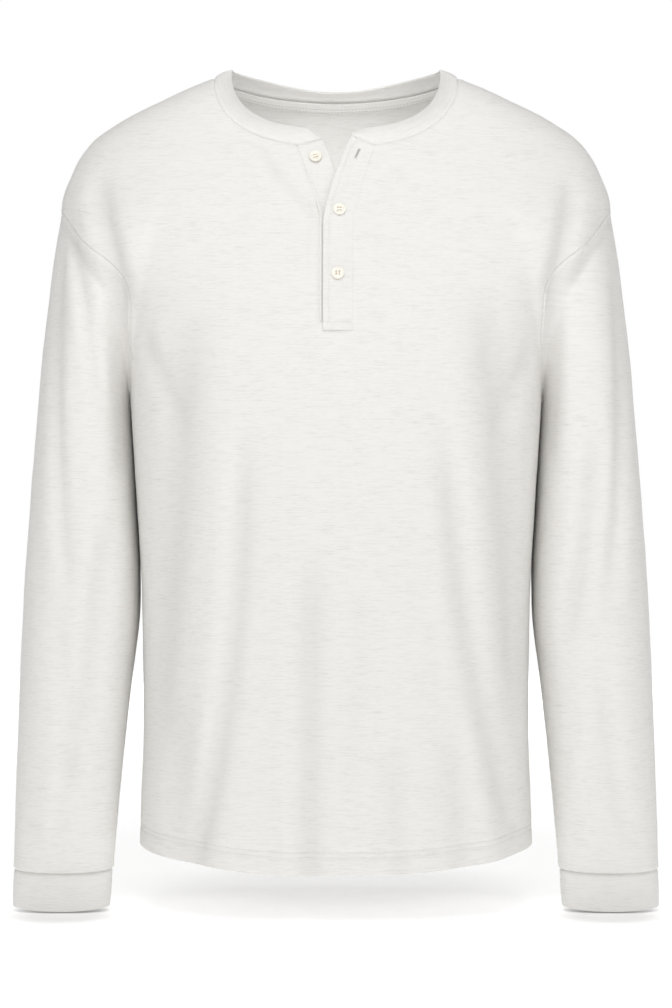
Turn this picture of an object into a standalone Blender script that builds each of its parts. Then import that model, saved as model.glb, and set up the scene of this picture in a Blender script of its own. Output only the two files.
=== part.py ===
"""A long-sleeved henley shirt, filled out as if worn, as separate cut and sewn pieces of jersey.

Units are metres. +Z is up, the front faces -Y and +X is the wearer's left. The origin is the middle of the
neck, level with the high points of the shoulders.

The shirt's outer face is one height field: at height z and distance x from the middle, the cloth lies
H(x, z) in front of (or behind) the plane of the side seams. H joins the torso's lobe and the upper arms'
lobes. Each piece of cloth is a grid of points on that face and the same grid moved inwards by its wall.
"""

import math
from typing import NamedTuple

import bmesh
import bpy
import numpy as np
from mathutils import Vector

# --- driving sizes ------------------------------------------------------------------------------------

JERSEY = 0.0012  # wall of the single jersey
DOUBLE = 0.0019  # wall of a folded band or placket
SEAM_GAP = 0.0003  # clearance between neighbouring pieces
SIDE_SEAM_Y = 0.010  # plane of the side, shoulder and underarm seams

UNDERARM_Z = -0.315
SHOULDER_TIP_Z = -0.128
NECK_SEAM_X, NECK_SEAM_Z = 0.1115, -0.0096  # where the shoulder seam meets the neckband
HEM_SIDE_Z, HEM_DIP = -0.706, 0.0165  # the hem at the side seams, and how far it drops in the middle
HEM_TURNING, HEM_STEP = 0.016, 0.0015  # the turned-up edge, and the slope above it down to one layer

NECK_FRONT_DROP, NECK_FRONT_POWER = 0.0694, 2.25
NECK_BACK_DROP, NECK_BACK_POWER = 0.0139, 1.6
BAND_EDGE_X = 0.0952  # half the neck's width at the neckband's free edge
BAND_FRONT_DROP, BAND_FRONT_POWER = 0.061, 2.5
BAND_BACK_DROP = 0.0101
BAND_FRONT_REACH, BAND_BACK_REACH, BAND_PLAN_POWER = 0.068, 0.056, 2.2
BAND_CROWN, BAND_FULL = 0.0016, 0.012  # how far the neckband swells out where it is at least this wide

PLACKET_WIDTH = 0.026
PLACKET_UNDER_X = -0.0145  # seam of the under placket, below the opening
PLACKET_UPPER_X = -0.0115  # free edge of the upper placket, below the opening
PLACKET_LAP = 0.002  # the upper placket's stitched margin on the front
UNDER_SPREAD, UNDER_CLOSED_Z, UNDER_TOP_Z, UNDER_CURVE = 0.0215, -0.142, -0.0755, 1.15
UPPER_SPREAD, UPPER_CLOSED_Z, UPPER_TOP_Z, UPPER_CURVE = 0.0245, -0.150, -0.0695, 1.40
UNDER_RISE, UPPER_RISE, RISE_POWER = 0.0062, 0.0095, 1.3  # from a placket's seam up to its open corner
PLACKET_FOOT = 0.008  # the upper placket's stitched box below the slit
BAND_TIP = 0.0025  # the neckband's width at its ends

TAPE_WIDTH, TAPE_RISE = 0.0095, 0.0040  # its height in all, and above the neckline seam
TAPE_WALL = 0.0010

SLEEVE_END_Z = -0.7270
LEVEL_RING_Z = -0.345  # the highest level ring of the sleeve, under the armhole

BUTTON_DIAMETER, BUTTON_THICKNESS = 0.0114, 0.0024
BUTTON_HOLE, BUTTON_HOLE_SPREAD = 0.0013, 0.0015
BUTTON_TOP_Z, BUTTON_MIDDLE_Z, BUTTON_BOTTOM_Z = -0.0885, -0.1390, -0.1964

FRONT, BACK = -1, 1  # the sign of a side's y
SMOOTH_ANGLE = math.radians(50)  # sharper edges are shaded as edges


class Torso(NamedTuple):
    """A level section of the torso's lobe."""

    z: float
    half_width: float
    front: float  # depth from the plane of the side seams
    back: float


TORSO = [
    Torso(z=0.0000, half_width=0.0890, front=0.024, back=0.036),
    Torso(z=-0.0096, half_width=NECK_SEAM_X, front=0.030, back=0.050),
    Torso(z=-0.0238, half_width=0.1466, front=0.042, back=0.069),
    Torso(z=-0.0458, half_width=0.1942, front=0.056, back=0.085),
    Torso(z=-0.0677, half_width=0.2245, front=0.069, back=0.095),
    Torso(z=-0.0897, half_width=0.2390, front=0.082, back=0.102),
    Torso(z=-0.1280, half_width=0.2512, front=0.101, back=0.109),
    Torso(z=-0.1500, half_width=0.2440, front=0.110, back=0.112),
    Torso(z=-0.1800, half_width=0.2250, front=0.121, back=0.114),
    Torso(z=-0.2100, half_width=0.2060, front=0.129, back=0.114),
    Torso(z=-0.2400, half_width=0.1945, front=0.134, back=0.112),
    Torso(z=-0.2700, half_width=0.1890, front=0.136, back=0.110),
    Torso(z=-0.3150, half_width=0.1870, front=0.136, back=0.106),
    Torso(z=-0.3935, half_width=0.1820, front=0.133, back=0.100),
    Torso(z=-0.4900, half_width=0.1770, front=0.130, back=0.098),
    Torso(z=-0.6000, half_width=0.1757, front=0.127, back=0.102),
    Torso(z=-0.6700, half_width=0.1780, front=0.126, back=0.104),
    Torso(z=-0.7300, half_width=0.1800, front=0.126, back=0.104),
]
TORSO_POWER = 2.6


class Arm(NamedTuple):
    """A level section of an arm's lobe."""

    z: float
    inner: float  # x of the side that faces the torso
    outer: float
    depth: float  # half of the section, front to back
    middle_y: float


ARM = [
    Arm(z=-0.1280, inner=0.1500, outer=0.2512, depth=0.032, middle_y=0.010),
    Arm(z=-0.1500, inner=0.1560, outer=0.2540, depth=0.052, middle_y=0.010),
    Arm(z=-0.1800, inner=0.1640, outer=0.2582, depth=0.062, middle_y=0.010),
    Arm(z=-0.2100, inner=0.1715, outer=0.2613, depth=0.067, middle_y=0.010),
    Arm(z=-0.2400, inner=0.1780, outer=0.2648, depth=0.070, middle_y=0.010),
    Arm(z=-0.2700, inner=0.1827, outer=0.2682, depth=0.071, middle_y=0.010),
    Arm(z=-0.3150, inner=0.1875, outer=0.2720, depth=0.070, middle_y=0.010),
    Arm(z=-0.3500, inner=0.1856, outer=0.2753, depth=0.068, middle_y=0.009),
    Arm(z=-0.3935, inner=0.1832, outer=0.2792, depth=0.065, middle_y=0.007),
    Arm(z=-0.4670, inner=0.1796, outer=0.2848, depth=0.059, middle_y=0.003),
    Arm(z=-0.4900, inner=0.1798, outer=0.2858, depth=0.057, middle_y=0.001),
    Arm(z=-0.5570, inner=0.1868, outer=0.2884, depth=0.050, middle_y=-0.004),
    Arm(z=-0.6240, inner=0.1938, outer=0.2902, depth=0.042, middle_y=-0.010),
    Arm(z=-0.7000, inner=0.2006, outer=0.2920, depth=0.033, middle_y=-0.017),
    Arm(z=-0.7270, inner=0.2022, outer=0.2922, depth=0.028, middle_y=-0.020),
]
CUFF = [
    Arm(z=-0.7273, inner=0.2034, outer=0.2915, depth=0.0235, middle_y=-0.020),
    Arm(z=-0.7643, inner=0.2052, outer=0.2924, depth=0.0215, middle_y=-0.024),
]
ARM_POWER = 2.3
JOIN_POWER = 3.0  # how tightly the torso's and the arms' lobes run into each other


class Armhole(NamedTuple):
    """A point of the armhole seam."""

    z: float
    front: float  # x of the seam on the front
    back: float


ARMHOLE = [
    Armhole(z=-0.1280, front=0.2512, back=0.2512),
    Armhole(z=-0.1365, front=0.2450, back=0.2455),
    Armhole(z=-0.1570, front=0.2290, back=0.2310),
    Armhole(z=-0.1820, front=0.2050, back=0.2120),
    Armhole(z=-0.2040, front=0.1895, back=0.2000),
    Armhole(z=-0.2250, front=0.1850, back=0.1935),
    Armhole(z=-0.2500, front=0.1845, back=0.1900),
    Armhole(z=-0.2800, front=0.1855, back=0.1882),
    Armhole(z=-0.3150, front=0.1872, back=0.1872),
]


class Fold(NamedTuple):
    """A soft trough (or, with a negative depth, a ridge) in the cloth, from one point to another."""

    x0: float
    z0: float
    x1: float
    z1: float
    width: float
    depth: float


FRONT_FOLDS = [
    Fold(x0=-0.118, z0=-0.245, x1=-0.142, z1=-0.600, width=0.016, depth=0.0045),
    Fold(x0=-0.084, z0=-0.360, x1=-0.104, z1=-0.690, width=0.015, depth=0.0035),
    Fold(x0=-0.028, z0=-0.540, x1=-0.026, z1=-0.735, width=0.017, depth=0.0050),
    Fold(x0=0.095, z0=-0.390, x1=0.128, z1=-0.600, width=0.016, depth=0.0040),
    Fold(x0=0.128, z0=-0.235, x1=0.146, z1=-0.470, width=0.015, depth=0.0040),
    Fold(x0=-0.066, z0=-0.075, x1=-0.014, z1=-0.135, width=0.009, depth=0.0022),
]
BACK_FOLDS = [
    Fold(x0=-0.120, z0=-0.230, x1=-0.136, z1=-0.560, width=0.017, depth=0.0045),
    Fold(x0=0.112, z0=-0.250, x1=0.140, z1=-0.620, width=0.017, depth=0.0045),
    Fold(x0=0.040, z0=-0.430, x1=0.052, z1=-0.735, width=0.019, depth=0.0050),
    Fold(x0=-0.045, z0=-0.500, x1=-0.062, z1=-0.735, width=0.018, depth=0.0040),
]
SLEEVE_FRONT_FOLDS = [
    Fold(x0=-0.242, z0=-0.175, x1=-0.246, z1=-0.450, width=0.013, depth=0.0045),
    Fold(x0=-0.205, z0=-0.420, x1=-0.225, z1=-0.600, width=0.013, depth=0.0035),
    Fold(x0=0.231, z0=-0.330, x1=0.208, z1=-0.515, width=0.014, depth=0.0045),
    Fold(x0=0.256, z0=-0.200, x1=0.248, z1=-0.400, width=0.013, depth=0.0035),
    Fold(x0=0.238, z0=-0.560, x1=0.256, z1=-0.690, width=0.013, depth=0.0030),
]
SLEEVE_BACK_FOLDS = [
    Fold(x0=-0.226, z0=-0.240, x1=-0.236, z1=-0.480, width=0.014, depth=0.0045),
    Fold(x0=-0.250, z0=-0.500, x1=-0.236, z1=-0.680, width=0.013, depth=0.0030),
    Fold(x0=0.222, z0=-0.220, x1=0.238, z1=-0.430, width=0.014, depth=0.0045),
    Fold(x0=0.232, z0=-0.480, x1=0.252, z1=-0.640, width=0.013, depth=0.0035),
]
FOLD_FADE = 0.125  # a fold fades out over this share of its length on each side of its end
FOLDS_START, FOLDS_FULL = 0.024, 0.084  # depths of the body between which its folds grow to full depth
SLEEVE_FOLDS_START, SLEEVE_FOLDS_FULL = 0.3, 0.8  # the same on a sleeve, as shares of its half depth

# --- rows and columns of the grids --------------------------------------------------------------------

BODY_ROWS = 8  # from above the hem's turning to the underarm
ARMHOLE_ROWS, ARMHOLE_CROWDING = 14, 1.25  # closer together towards the underarm
SHOULDER_ROWS, SHOULDER_CROWDING = 6, 0.8  # closer together towards the neck
SLIT_ROW = 7  # the armhole row, counted from the underarm, where the placket's slit ends
PANEL_SIDE_COLUMNS = 12  # on each side of the slit
BACK_COLUMNS = 26
YOKE_Z = -0.161  # height of the row through the shoulder tips, in the middle
ROW_BEND = 2.2  # power of the curve that a row follows from the middle to the side
SLEEVE_HEAD_ROWS = 5
SLEEVE_ROWS = 11
BAND_ROWS = 2
CUFF_ROWS = 2
PLACKET_COLUMNS = 3
BUTTON_SEGMENTS = 24

SLIT_LEFT = PANEL_SIDE_COLUMNS  # column of the slit's left edge
SLIT_RIGHT = SLIT_LEFT + 2
MARGIN = SLIT_RIGHT + 1  # column of the upper placket's stitched margin
HEM_ROWS = 3
SLIT_BOTTOM = HEM_ROWS - 1 + BODY_ROWS + SLIT_ROW  # row where the slit ends

# --- smooth curves through the tables -----------------------------------------------------------------


class Profile:
    """A smooth curve through one column of a table, against z, that never overshoots its rows."""

    def __init__(self, rows, column):
        rows = sorted(rows, key=lambda row: row.z)
        self.z = np.array([row.z for row in rows])
        self.value = np.array([row._asdict()[column] for row in rows])
        slope = np.diff(self.value) / np.diff(self.z)
        same = slope[1:] * slope[:-1] > 0
        total = np.where(same, slope[1:] + slope[:-1], 1.0)
        inner = np.where(same, 2.0 * slope[1:] * slope[:-1] / total, 0.0)
        self.tangent = np.concatenate([slope[:1], inner, slope[-1:]])

    def __call__(self, z):
        z = np.clip(z, self.z[0], self.z[-1])
        i = np.clip(np.searchsorted(self.z, z) - 1, 0, len(self.z) - 2)
        step = self.z[i + 1] - self.z[i]
        t = (z - self.z[i]) / step
        start = self.value[i] * (1 + 2 * t) + self.tangent[i] * step * t
        end = self.value[i + 1] * (3 - 2 * t) - self.tangent[i + 1] * step * (1 - t)
        return start * (1 - t) ** 2 + end * t**2


torso_half_width = Profile(TORSO, "half_width")
torso_depth = {FRONT: Profile(TORSO, "front"), BACK: Profile(TORSO, "back")}
arm_inner = Profile(ARM, "inner")
arm_outer = Profile(ARM, "outer")
arm_depth = Profile(ARM, "depth")
arm_middle_y = Profile(ARM, "middle_y")
armhole_x = {FRONT: Profile(ARMHOLE, "front"), BACK: Profile(ARMHOLE, "back")}
body_folds = {FRONT: FRONT_FOLDS, BACK: BACK_FOLDS}


def lobe(share, power):
    """The rise of a superellipse, 1 in the middle (share 0) and 0 at its edge (share 1)."""
    return np.clip(1.0 - np.abs(share) ** power, 0.0, 1.0) ** (1.0 / power)


def grown(value, start, full):
    """0 up to the start, rising evenly to 1 where the value is full."""
    return np.clip((value - start) / (full - start), 0.0, 1.0)


def fold_depth(x, z, folds):
    """How far these folds sink the cloth at (x, z)."""
    total = np.zeros(np.broadcast(x, z).shape)
    for fold in folds:
        along = np.array([fold.x1 - fold.x0, fold.z1 - fold.z0])
        length = math.hypot(*along)
        along /= length
        run = ((x - fold.x0) * along[0] + (z - fold.z0) * along[1]) / length
        across = (x - fold.x0) * along[1] - (z - fold.z0) * along[0]
        fade = grown(np.minimum(run, 1.0 - run), -FOLD_FADE, FOLD_FADE)
        fade = fade * fade * (3.0 - 2.0 * fade)
        total = total + fold.depth * fade * np.exp(-((across / fold.width) ** 2))
    return total


def face_depth(x, z, side):
    """H(x, z): how far the cloth lies from the plane of the side seams."""
    x, z = np.broadcast_arrays(np.asarray(x, float), np.asarray(z, float))
    torso = torso_depth[side](z) * lobe(x / torso_half_width(z), TORSO_POWER)
    middle = (arm_inner(z) + arm_outer(z)) / 2
    half = (arm_outer(z) - arm_inner(z)) / 2
    arm = arm_depth(z) * lobe((np.abs(x) - middle) / half, ARM_POWER)
    arm = np.where((z > UNDERARM_Z) & (z <= SHOULDER_TIP_Z), arm, 0.0)
    joined = (torso**JOIN_POWER + arm**JOIN_POWER) ** (1 / JOIN_POWER)
    return joined - fold_depth(x, z, body_folds[side]) * grown(joined, FOLDS_START, FOLDS_FULL)


def face_point(x, z, side):
    """The point of the shirt's outer face at (x, z), on the front (side -1) or the back (side 1)."""
    x, z = np.broadcast_arrays(np.asarray(x, float), np.asarray(z, float))
    return np.stack([x, SIDE_SEAM_Y + side * face_depth(x, z, side), z], axis=-1)


def face_normal(x, z, side, step=0.002):
    """The outward normal of the face."""
    dx = (face_depth(x + step, z, side) - face_depth(x - step, z, side)) / (2 * step)
    dz = (face_depth(x, z + step, side) - face_depth(x, z - step, side)) / (2 * step)
    normal = np.stack([-dx, side * np.ones_like(dx), -dz], axis=-1)
    return normal / np.linalg.norm(normal, axis=-1, keepdims=True)


def toward(points, targets, distance):
    """The points, each moved this far towards its target."""
    run = targets - points
    return points + run / np.linalg.norm(run, axis=-1, keepdims=True) * distance


def make_material(name, colour, roughness):
    material = bpy.data.materials.new(name)
    material.use_nodes = True
    shader = material.node_tree.nodes["Principled BSDF"]
    shader.inputs["Base Color"].default_value = (*colour, 1.0)
    shader.inputs["Roughness"].default_value = roughness
    return material


# --- making walls from grids of points ------------------------------------------------------------------


class Cloth:
    """A cut piece: a grid of outer points, with rows up the piece and columns anticlockwise from above."""

    def __init__(self, grid, thickness, closed=False, cut=None):
        self.grid = grid
        self.closed = closed  # the last column joins the first
        self.cut = cut or (lambda row, column: False)  # cells left out
        self.thickness = np.broadcast_to(np.asarray(thickness, float), grid.shape[:1])
        around = np.roll(grid, -1, axis=1) - np.roll(grid, 1, axis=1) if closed else np.gradient(grid, axis=1)
        normals = np.cross(around, np.gradient(grid, axis=0))
        self.normals = normals / np.linalg.norm(normals, axis=-1, keepdims=True)

    def border(self):
        """Rows and columns of the points along the grid's edges."""
        rows, columns = self.grid.shape[:2]
        ends = [(row, column) for row in (0, rows - 1) for column in range(columns)]
        sides = [] if self.closed else [(row, column) for row in range(rows) for column in (0, columns - 1)]
        return sorted(set(ends + sides))

    def inner(self):
        return self.grid - self.normals * self.thickness[:, None, None]


def share_normals(pieces):
    """Gives neighbouring pieces the same normal along their seam, so that their walls stay side by side."""
    places = [(piece, at) for piece in pieces for at in piece.border()]
    points = np.array([piece.grid[at] for piece, at in places])
    normals = np.array([piece.normals[at] for piece, at in places])
    for (piece, at), point in zip(places, points):
        near = np.linalg.norm(points - point, axis=1) < 3 * SEAM_GAP
        mean = normals[near].sum(axis=0)
        piece.normals[at] = mean / np.linalg.norm(mean)


def add_object(name, mesh, material):
    data = bpy.data.meshes.new(name)
    mesh.to_mesh(data)
    mesh.free()
    data.materials.append(material)
    data.shade_smooth()
    data.set_sharp_from_angle(angle=SMOOTH_ANGLE)
    piece = bpy.data.objects.new(name, data)
    bpy.context.scene.collection.objects.link(piece)
    return piece


def make_wall(name, cloth, material):
    """The closed solid between a piece's outer points and the same points moved inwards."""
    rows, columns = cloth.grid.shape[:2]
    mesh = bmesh.new()
    outer, inner = (
        [[mesh.verts.new(point) for point in row] for row in face] for face in (cloth.grid, cloth.inner())
    )
    open_edges = set()
    for i in range(rows - 1):
        for j in range(columns if cloth.closed else columns - 1):
            if cloth.cut(i, j):
                continue
            k = (j + 1) % columns
            corners = [(i, j), (i, k), (i + 1, k), (i + 1, j)]
            spots = [cloth.grid[corner] for corner in corners]
            if np.linalg.norm(spots[2] - spots[0]) <= np.linalg.norm(spots[3] - spots[1]):
                halves = [corners[:3], [corners[0], *corners[2:]]]
            else:
                halves = [corners[1:], [*corners[:2], corners[3]]]
            for half in halves:
                mesh.faces.new([outer[a][b] for a, b in half])
                mesh.faces.new([inner[a][b] for a, b in reversed(half)])
            for start, end in zip(corners, corners[1:] + corners[:1]):
                open_edges ^= {(min(start, end), max(start, end), start < end)}
    both = {edge[:2] for edge in open_edges if (*edge[:2], not edge[2]) in open_edges}
    for low, high, forward in sorted(open_edges):
        if (low, high) in both:
            continue
        (a, b), (c, d) = (low, high) if forward else (high, low)
        mesh.faces.new([outer[c][d], outer[a][b], inner[a][b], inner[c][d]])
    bmesh.ops.delete(mesh, geom=[v for v in mesh.verts if not v.link_faces], context="VERTS")
    return add_object(name, mesh, material)


# --- front and back panels ------------------------------------------------------------------------------


def panel_rows(neck_z, neck_power):
    """Each row's height at its ends (edge) and in the middle, and the power of the curve between them."""
    turning_z = HEM_SIDE_Z + HEM_TURNING
    edge = [HEM_SIDE_Z, turning_z, *np.linspace(turning_z + HEM_STEP, UNDERARM_Z, BODY_ROWS + 1)]
    middle = [z - HEM_DIP * ((UNDERARM_Z - z) / (UNDERARM_Z - HEM_SIDE_Z)) ** 2 for z in edge]
    power = [1.0] * len(edge)
    shares = np.arange(1, ARMHOLE_ROWS + 1) / ARMHOLE_ROWS
    edge += list(UNDERARM_Z + (SHOULDER_TIP_Z - UNDERARM_Z) * shares**ARMHOLE_CROWDING)
    middle += list(UNDERARM_Z + (YOKE_Z - UNDERARM_Z) * shares)
    power += [1.0] * ARMHOLE_ROWS
    shares = np.arange(1, SHOULDER_ROWS + 1) / SHOULDER_ROWS
    edge += list(SHOULDER_TIP_Z + (NECK_SEAM_Z - SHOULDER_TIP_Z) * shares**SHOULDER_CROWDING)
    middle += list(YOKE_Z + (neck_z - YOKE_Z) * shares)
    power += list(1.0 + (1.0 / neck_power - 1.0) * shares)
    return tuple(np.array(values)[:, None] for values in (edge, middle, power))


def panel_grid(side, column_shares, neck_z, neck_power):
    """A panel's outer points, from the hem up to the neckline."""
    edge, middle, power = panel_rows(neck_z, neck_power)
    on_armhole = (edge >= UNDERARM_Z) & (edge <= SHOULDER_TIP_Z)
    half = np.where(on_armhole, armhole_x[side](edge), torso_half_width(edge))
    share = column_shares(half, middle)
    bend = ROW_BEND + (neck_power - ROW_BEND) * grown(edge, SHOULDER_TIP_Z, NECK_SEAM_Z)
    z = edge + (middle - edge) * (1 - np.abs(share) ** bend) ** power
    return face_point(half * share, z, side)


def eased(grid, side):
    """A panel's grid with its seam edges drawn in by half a seam gap."""
    grid = grid.copy()
    grid[:, 0] = toward(grid[:, 0], grid[:, 1], SEAM_GAP / 2)
    grid[:, -1] = toward(grid[:, -1], grid[:, -2], SEAM_GAP / 2)
    grid[-1] = toward(grid[-1], grid[-2], SEAM_GAP / 2)
    reach = np.maximum(side * (grid[..., 1] - SIDE_SEAM_Y), SEAM_GAP / 2)
    grid[..., 1] = SIDE_SEAM_Y + side * reach
    return grid


def spread(z, most, closed_z, top_z, curve):
    """How far the open neck has moved an edge of the placket sideways at height z."""
    return most * np.clip((z - closed_z) / (top_z - closed_z), 0.0, None) ** curve


def under_seam_x(z):
    return PLACKET_UNDER_X - spread(z, UNDER_SPREAD, UNDER_CLOSED_Z, UNDER_TOP_Z, UNDER_CURVE)


def upper_edge_x(z):
    return PLACKET_UPPER_X + spread(z, UPPER_SPREAD, UPPER_CLOSED_Z, UPPER_TOP_Z, UPPER_CURVE)


def slit_right_x(z):
    """The cut edge of the wearer's left front, under the upper placket's margin."""
    return upper_edge_x(z) + PLACKET_WIDTH - PLACKET_LAP


def front_shares(half, middle):
    """Shares of each row's half-width: columns crowd to the sides and follow the slit's two edges."""
    part = np.linspace(0.0, 1.0, PANEL_SIDE_COLUMNS + 1)
    rows = []
    for width, z in zip(half[:, 0], middle[:, 0]):
        left, right, margin = (
            float(x) / width for x in (under_seam_x(z), slit_right_x(z), slit_right_x(z) + PLACKET_LAP)
        )
        start, end = math.asin(left), math.asin(margin)
        left_part = np.sin(-math.pi / 2 + (start + math.pi / 2) * part)
        right_part = np.sin(end + (math.pi / 2 - end) * part)
        rows.append(np.concatenate([left_part, [(left + right) / 2, right], right_part]))
    return np.array(rows)


def back_shares(half, middle):
    turn = np.linspace(math.pi / 2, -math.pi / 2, BACK_COLUMNS + 1)
    return np.repeat(np.sin(turn)[None], len(half), axis=0)


def hem_walls(rows):
    """Each row's thickness: the hem's turning has two layers."""
    return [DOUBLE, DOUBLE] + [JERSEY] * (rows - 2)


def front_cloth(grid):
    piece = eased(grid, FRONT)
    above = slice(SLIT_BOTTOM + 1, None)
    for column, neighbour in ((SLIT_LEFT, SLIT_LEFT - 1), (SLIT_RIGHT, MARGIN)):
        piece[above, column] = toward(piece[above, column], piece[above, neighbour], SEAM_GAP / 2)
    return Cloth(
        piece,
        hem_walls(len(piece)),
        cut=lambda row, column: row >= SLIT_BOTTOM and SLIT_LEFT <= column < SLIT_RIGHT,
    )


# --- sleeves and cuffs ----------------------------------------------------------------------------------


def ring_xy(turn, inner, outer, depth, middle_y):
    """Points of an arm's level section: turn 0 is the outside, a quarter turn the front."""
    power = 2 / ARM_POWER
    across, ahead = (np.sign(f(turn)) * np.abs(f(turn)) ** power for f in (np.cos, np.sin))
    return (inner + outer) / 2 + (outer - inner) / 2 * across, middle_y - depth * ahead


def sleeve_head(seam_z):
    """Rows from the level ring up to the armhole seam, for the wearer's left arm."""
    count = len(seam_z) - 1
    rows = []
    for row in range(SLEEVE_HEAD_ROWS + 1):
        drop = 1 - row / SLEEVE_HEAD_ROWS
        ring = []
        for column in range(2 * count):
            side = FRONT if column <= count else BACK
            place = column if column <= count else 2 * count - column
            z_seam, x_seam = seam_z[place], armhole_x[side](seam_z[place])
            middle = (arm_inner(z_seam) + arm_outer(z_seam)) / 2
            half = (arm_outer(z_seam) - arm_inner(z_seam)) / 2
            seam_turn = math.acos(np.clip((x_seam - middle) / half, -1.0, 1.0))
            turn = seam_turn + (math.pi * place / count - seam_turn) * drop
            z = z_seam + (LEVEL_RING_Z - z_seam) * drop
            x, y = ring_xy(turn, arm_inner(z), arm_outer(z), arm_depth(z), arm_middle_y(z))
            if row == SLEEVE_HEAD_ROWS:
                x = x_seam
            if z >= UNDERARM_Z:
                y = SIDE_SEAM_Y + side * face_depth(x, z, side)
            elif side == BACK:
                y = 2 * arm_middle_y(z) - y
            ring.append((x, y, z))
        rows.append(ring)
    return np.array(rows, float)


def creased(grid):
    """A smooth sleeve's grid with its folds sunk in, fading out towards the armhole."""
    x, y, z = np.moveaxis(grid, -1, 0)
    out = (y - arm_middle_y(z)) / arm_depth(z)
    below_seam = np.arange(len(grid))[::-1, None] / SLEEVE_HEAD_ROWS
    room = grown(np.abs(out), SLEEVE_FOLDS_START, SLEEVE_FOLDS_FULL) * np.minimum(below_seam, 1.0)
    sunk = np.where(out < 0, fold_depth(x, z, SLEEVE_FRONT_FOLDS), fold_depth(x, z, SLEEVE_BACK_FOLDS))
    return np.stack([x, y - np.sign(out) * sunk * room, z], axis=-1)


def sleeve_grid(seam_z):
    """The wearer's left sleeve without its folds, from its end up to the armhole."""
    columns = 2 * (len(seam_z) - 1)
    turn = 2 * math.pi * np.arange(columns) / columns
    rings = []
    for z in np.linspace(SLEEVE_END_Z, LEVEL_RING_Z, SLEEVE_ROWS + 1)[:-1]:
        x, y = ring_xy(turn, arm_inner(z), arm_outer(z), arm_depth(z), arm_middle_y(z))
        rings.append(np.stack([x, y, np.full_like(x, z)], axis=-1))
    grid = np.concatenate([np.array(rings), sleeve_head(seam_z)])
    grid[-1] = toward(grid[-1], grid[-2], SEAM_GAP / 2)
    return grid[:, ::-1]


def cuff_grid(columns):
    """The wearer's left cuff."""
    turn = 2 * math.pi * np.arange(columns) / columns
    top, bottom = CUFF
    rings = []
    for share in np.linspace(0.0, 1.0, CUFF_ROWS + 1):
        z, inner, outer, depth, middle_y = (b + (t - b) * share for b, t in zip(bottom, top))
        x, y = ring_xy(turn, inner, outer, depth, middle_y)
        rings.append(np.stack([x, y, np.full_like(x, z)], axis=-1))
    return np.array(rings)[:, ::-1]


def mirrored(grid):
    """The grid on the other side of the shirt, its columns turned to keep their direction."""
    flipped = grid[:, ::-1].copy()
    flipped[..., 0] *= -1
    return flipped


# --- placket ----------------------------------------------------------------------------------------------


def placket_face(seam, lean_x, direction, rise):
    """x and z of a strip of the face, from the seam's points (first column) to the strip's free edge.

    lean_x(z) is how the opening carries the strip sideways, and its top row rises to the open corner.
    """
    shares = np.linspace(0.0, 1.0, PLACKET_COLUMNS + 1)
    seam_x, seam_z = seam[:, :1], seam[:, 2:]
    z = np.repeat(seam_z, len(shares), axis=1)
    z[-1] += rise * shares**RISE_POWER
    x = seam_x + lean_x(z) - lean_x(seam_z) + direction * PLACKET_WIDTH * shares
    return x, z


def strip(x, z, offset):
    """The face's points at (x, z), moved out along its normals."""
    return face_point(x, z, FRONT) + face_normal(x, z, FRONT) * offset


def placket_grids(front_grid):
    """The under and the upper placket's outer points, and their top rows on the face itself."""
    under_x, under_z = placket_face(front_grid[SLIT_BOTTOM:, SLIT_LEFT], under_seam_x, 1, UNDER_RISE)
    seam = front_grid[SLIT_BOTTOM:, MARGIN]
    foot = seam[:1] - [[0.0, 0.0, PLACKET_FOOT]]
    upper_x, upper_z = placket_face(np.concatenate([foot, seam]), upper_edge_x, -1, UPPER_RISE)
    upper_x, upper_z = upper_x[:, ::-1], upper_z[:, ::-1]
    under_top, upper_top = (strip(x[-1], z[-1], 0.0) for x, z in ((under_x, under_z), (upper_x, upper_z)))
    under_x[:, 0] += SEAM_GAP
    under_z[0] += SEAM_GAP
    under, upper = strip(under_x, under_z, 0.0), strip(upper_x, upper_z, SEAM_GAP + DOUBLE)
    return under, upper, under_top, upper_top


# --- neckband and neck tape -------------------------------------------------------------------------------


def band_edge(points, side):
    """The neckband's free edge, opposite these points of the neckline."""
    share = points[:, 0] / NECK_SEAM_X
    x = share * BAND_EDGE_X
    share = np.clip(np.abs(share), 0.0, 1.0)
    if side == FRONT:
        z = -BAND_FRONT_DROP * lobe(share, BAND_FRONT_POWER)
        reach = BAND_FRONT_REACH
    else:
        z = -BAND_BACK_DROP * np.cos(share * math.pi / 2) ** 2
        reach = BAND_BACK_REACH
    return np.stack([x, SIDE_SEAM_Y + side * reach * lobe(share, BAND_PLAN_POWER), z], axis=-1)


def tapered(edge, seam):
    """The band's free edge over a placket, running down to a point at the placket's open corner (last)."""
    tip = toward(seam[-1:], edge[-1:], BAND_TIP)[0]
    share = np.linspace(0.0, 1.0, len(edge))[:, None] ** 2
    return edge + (tip - edge[-1]) * share


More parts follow.
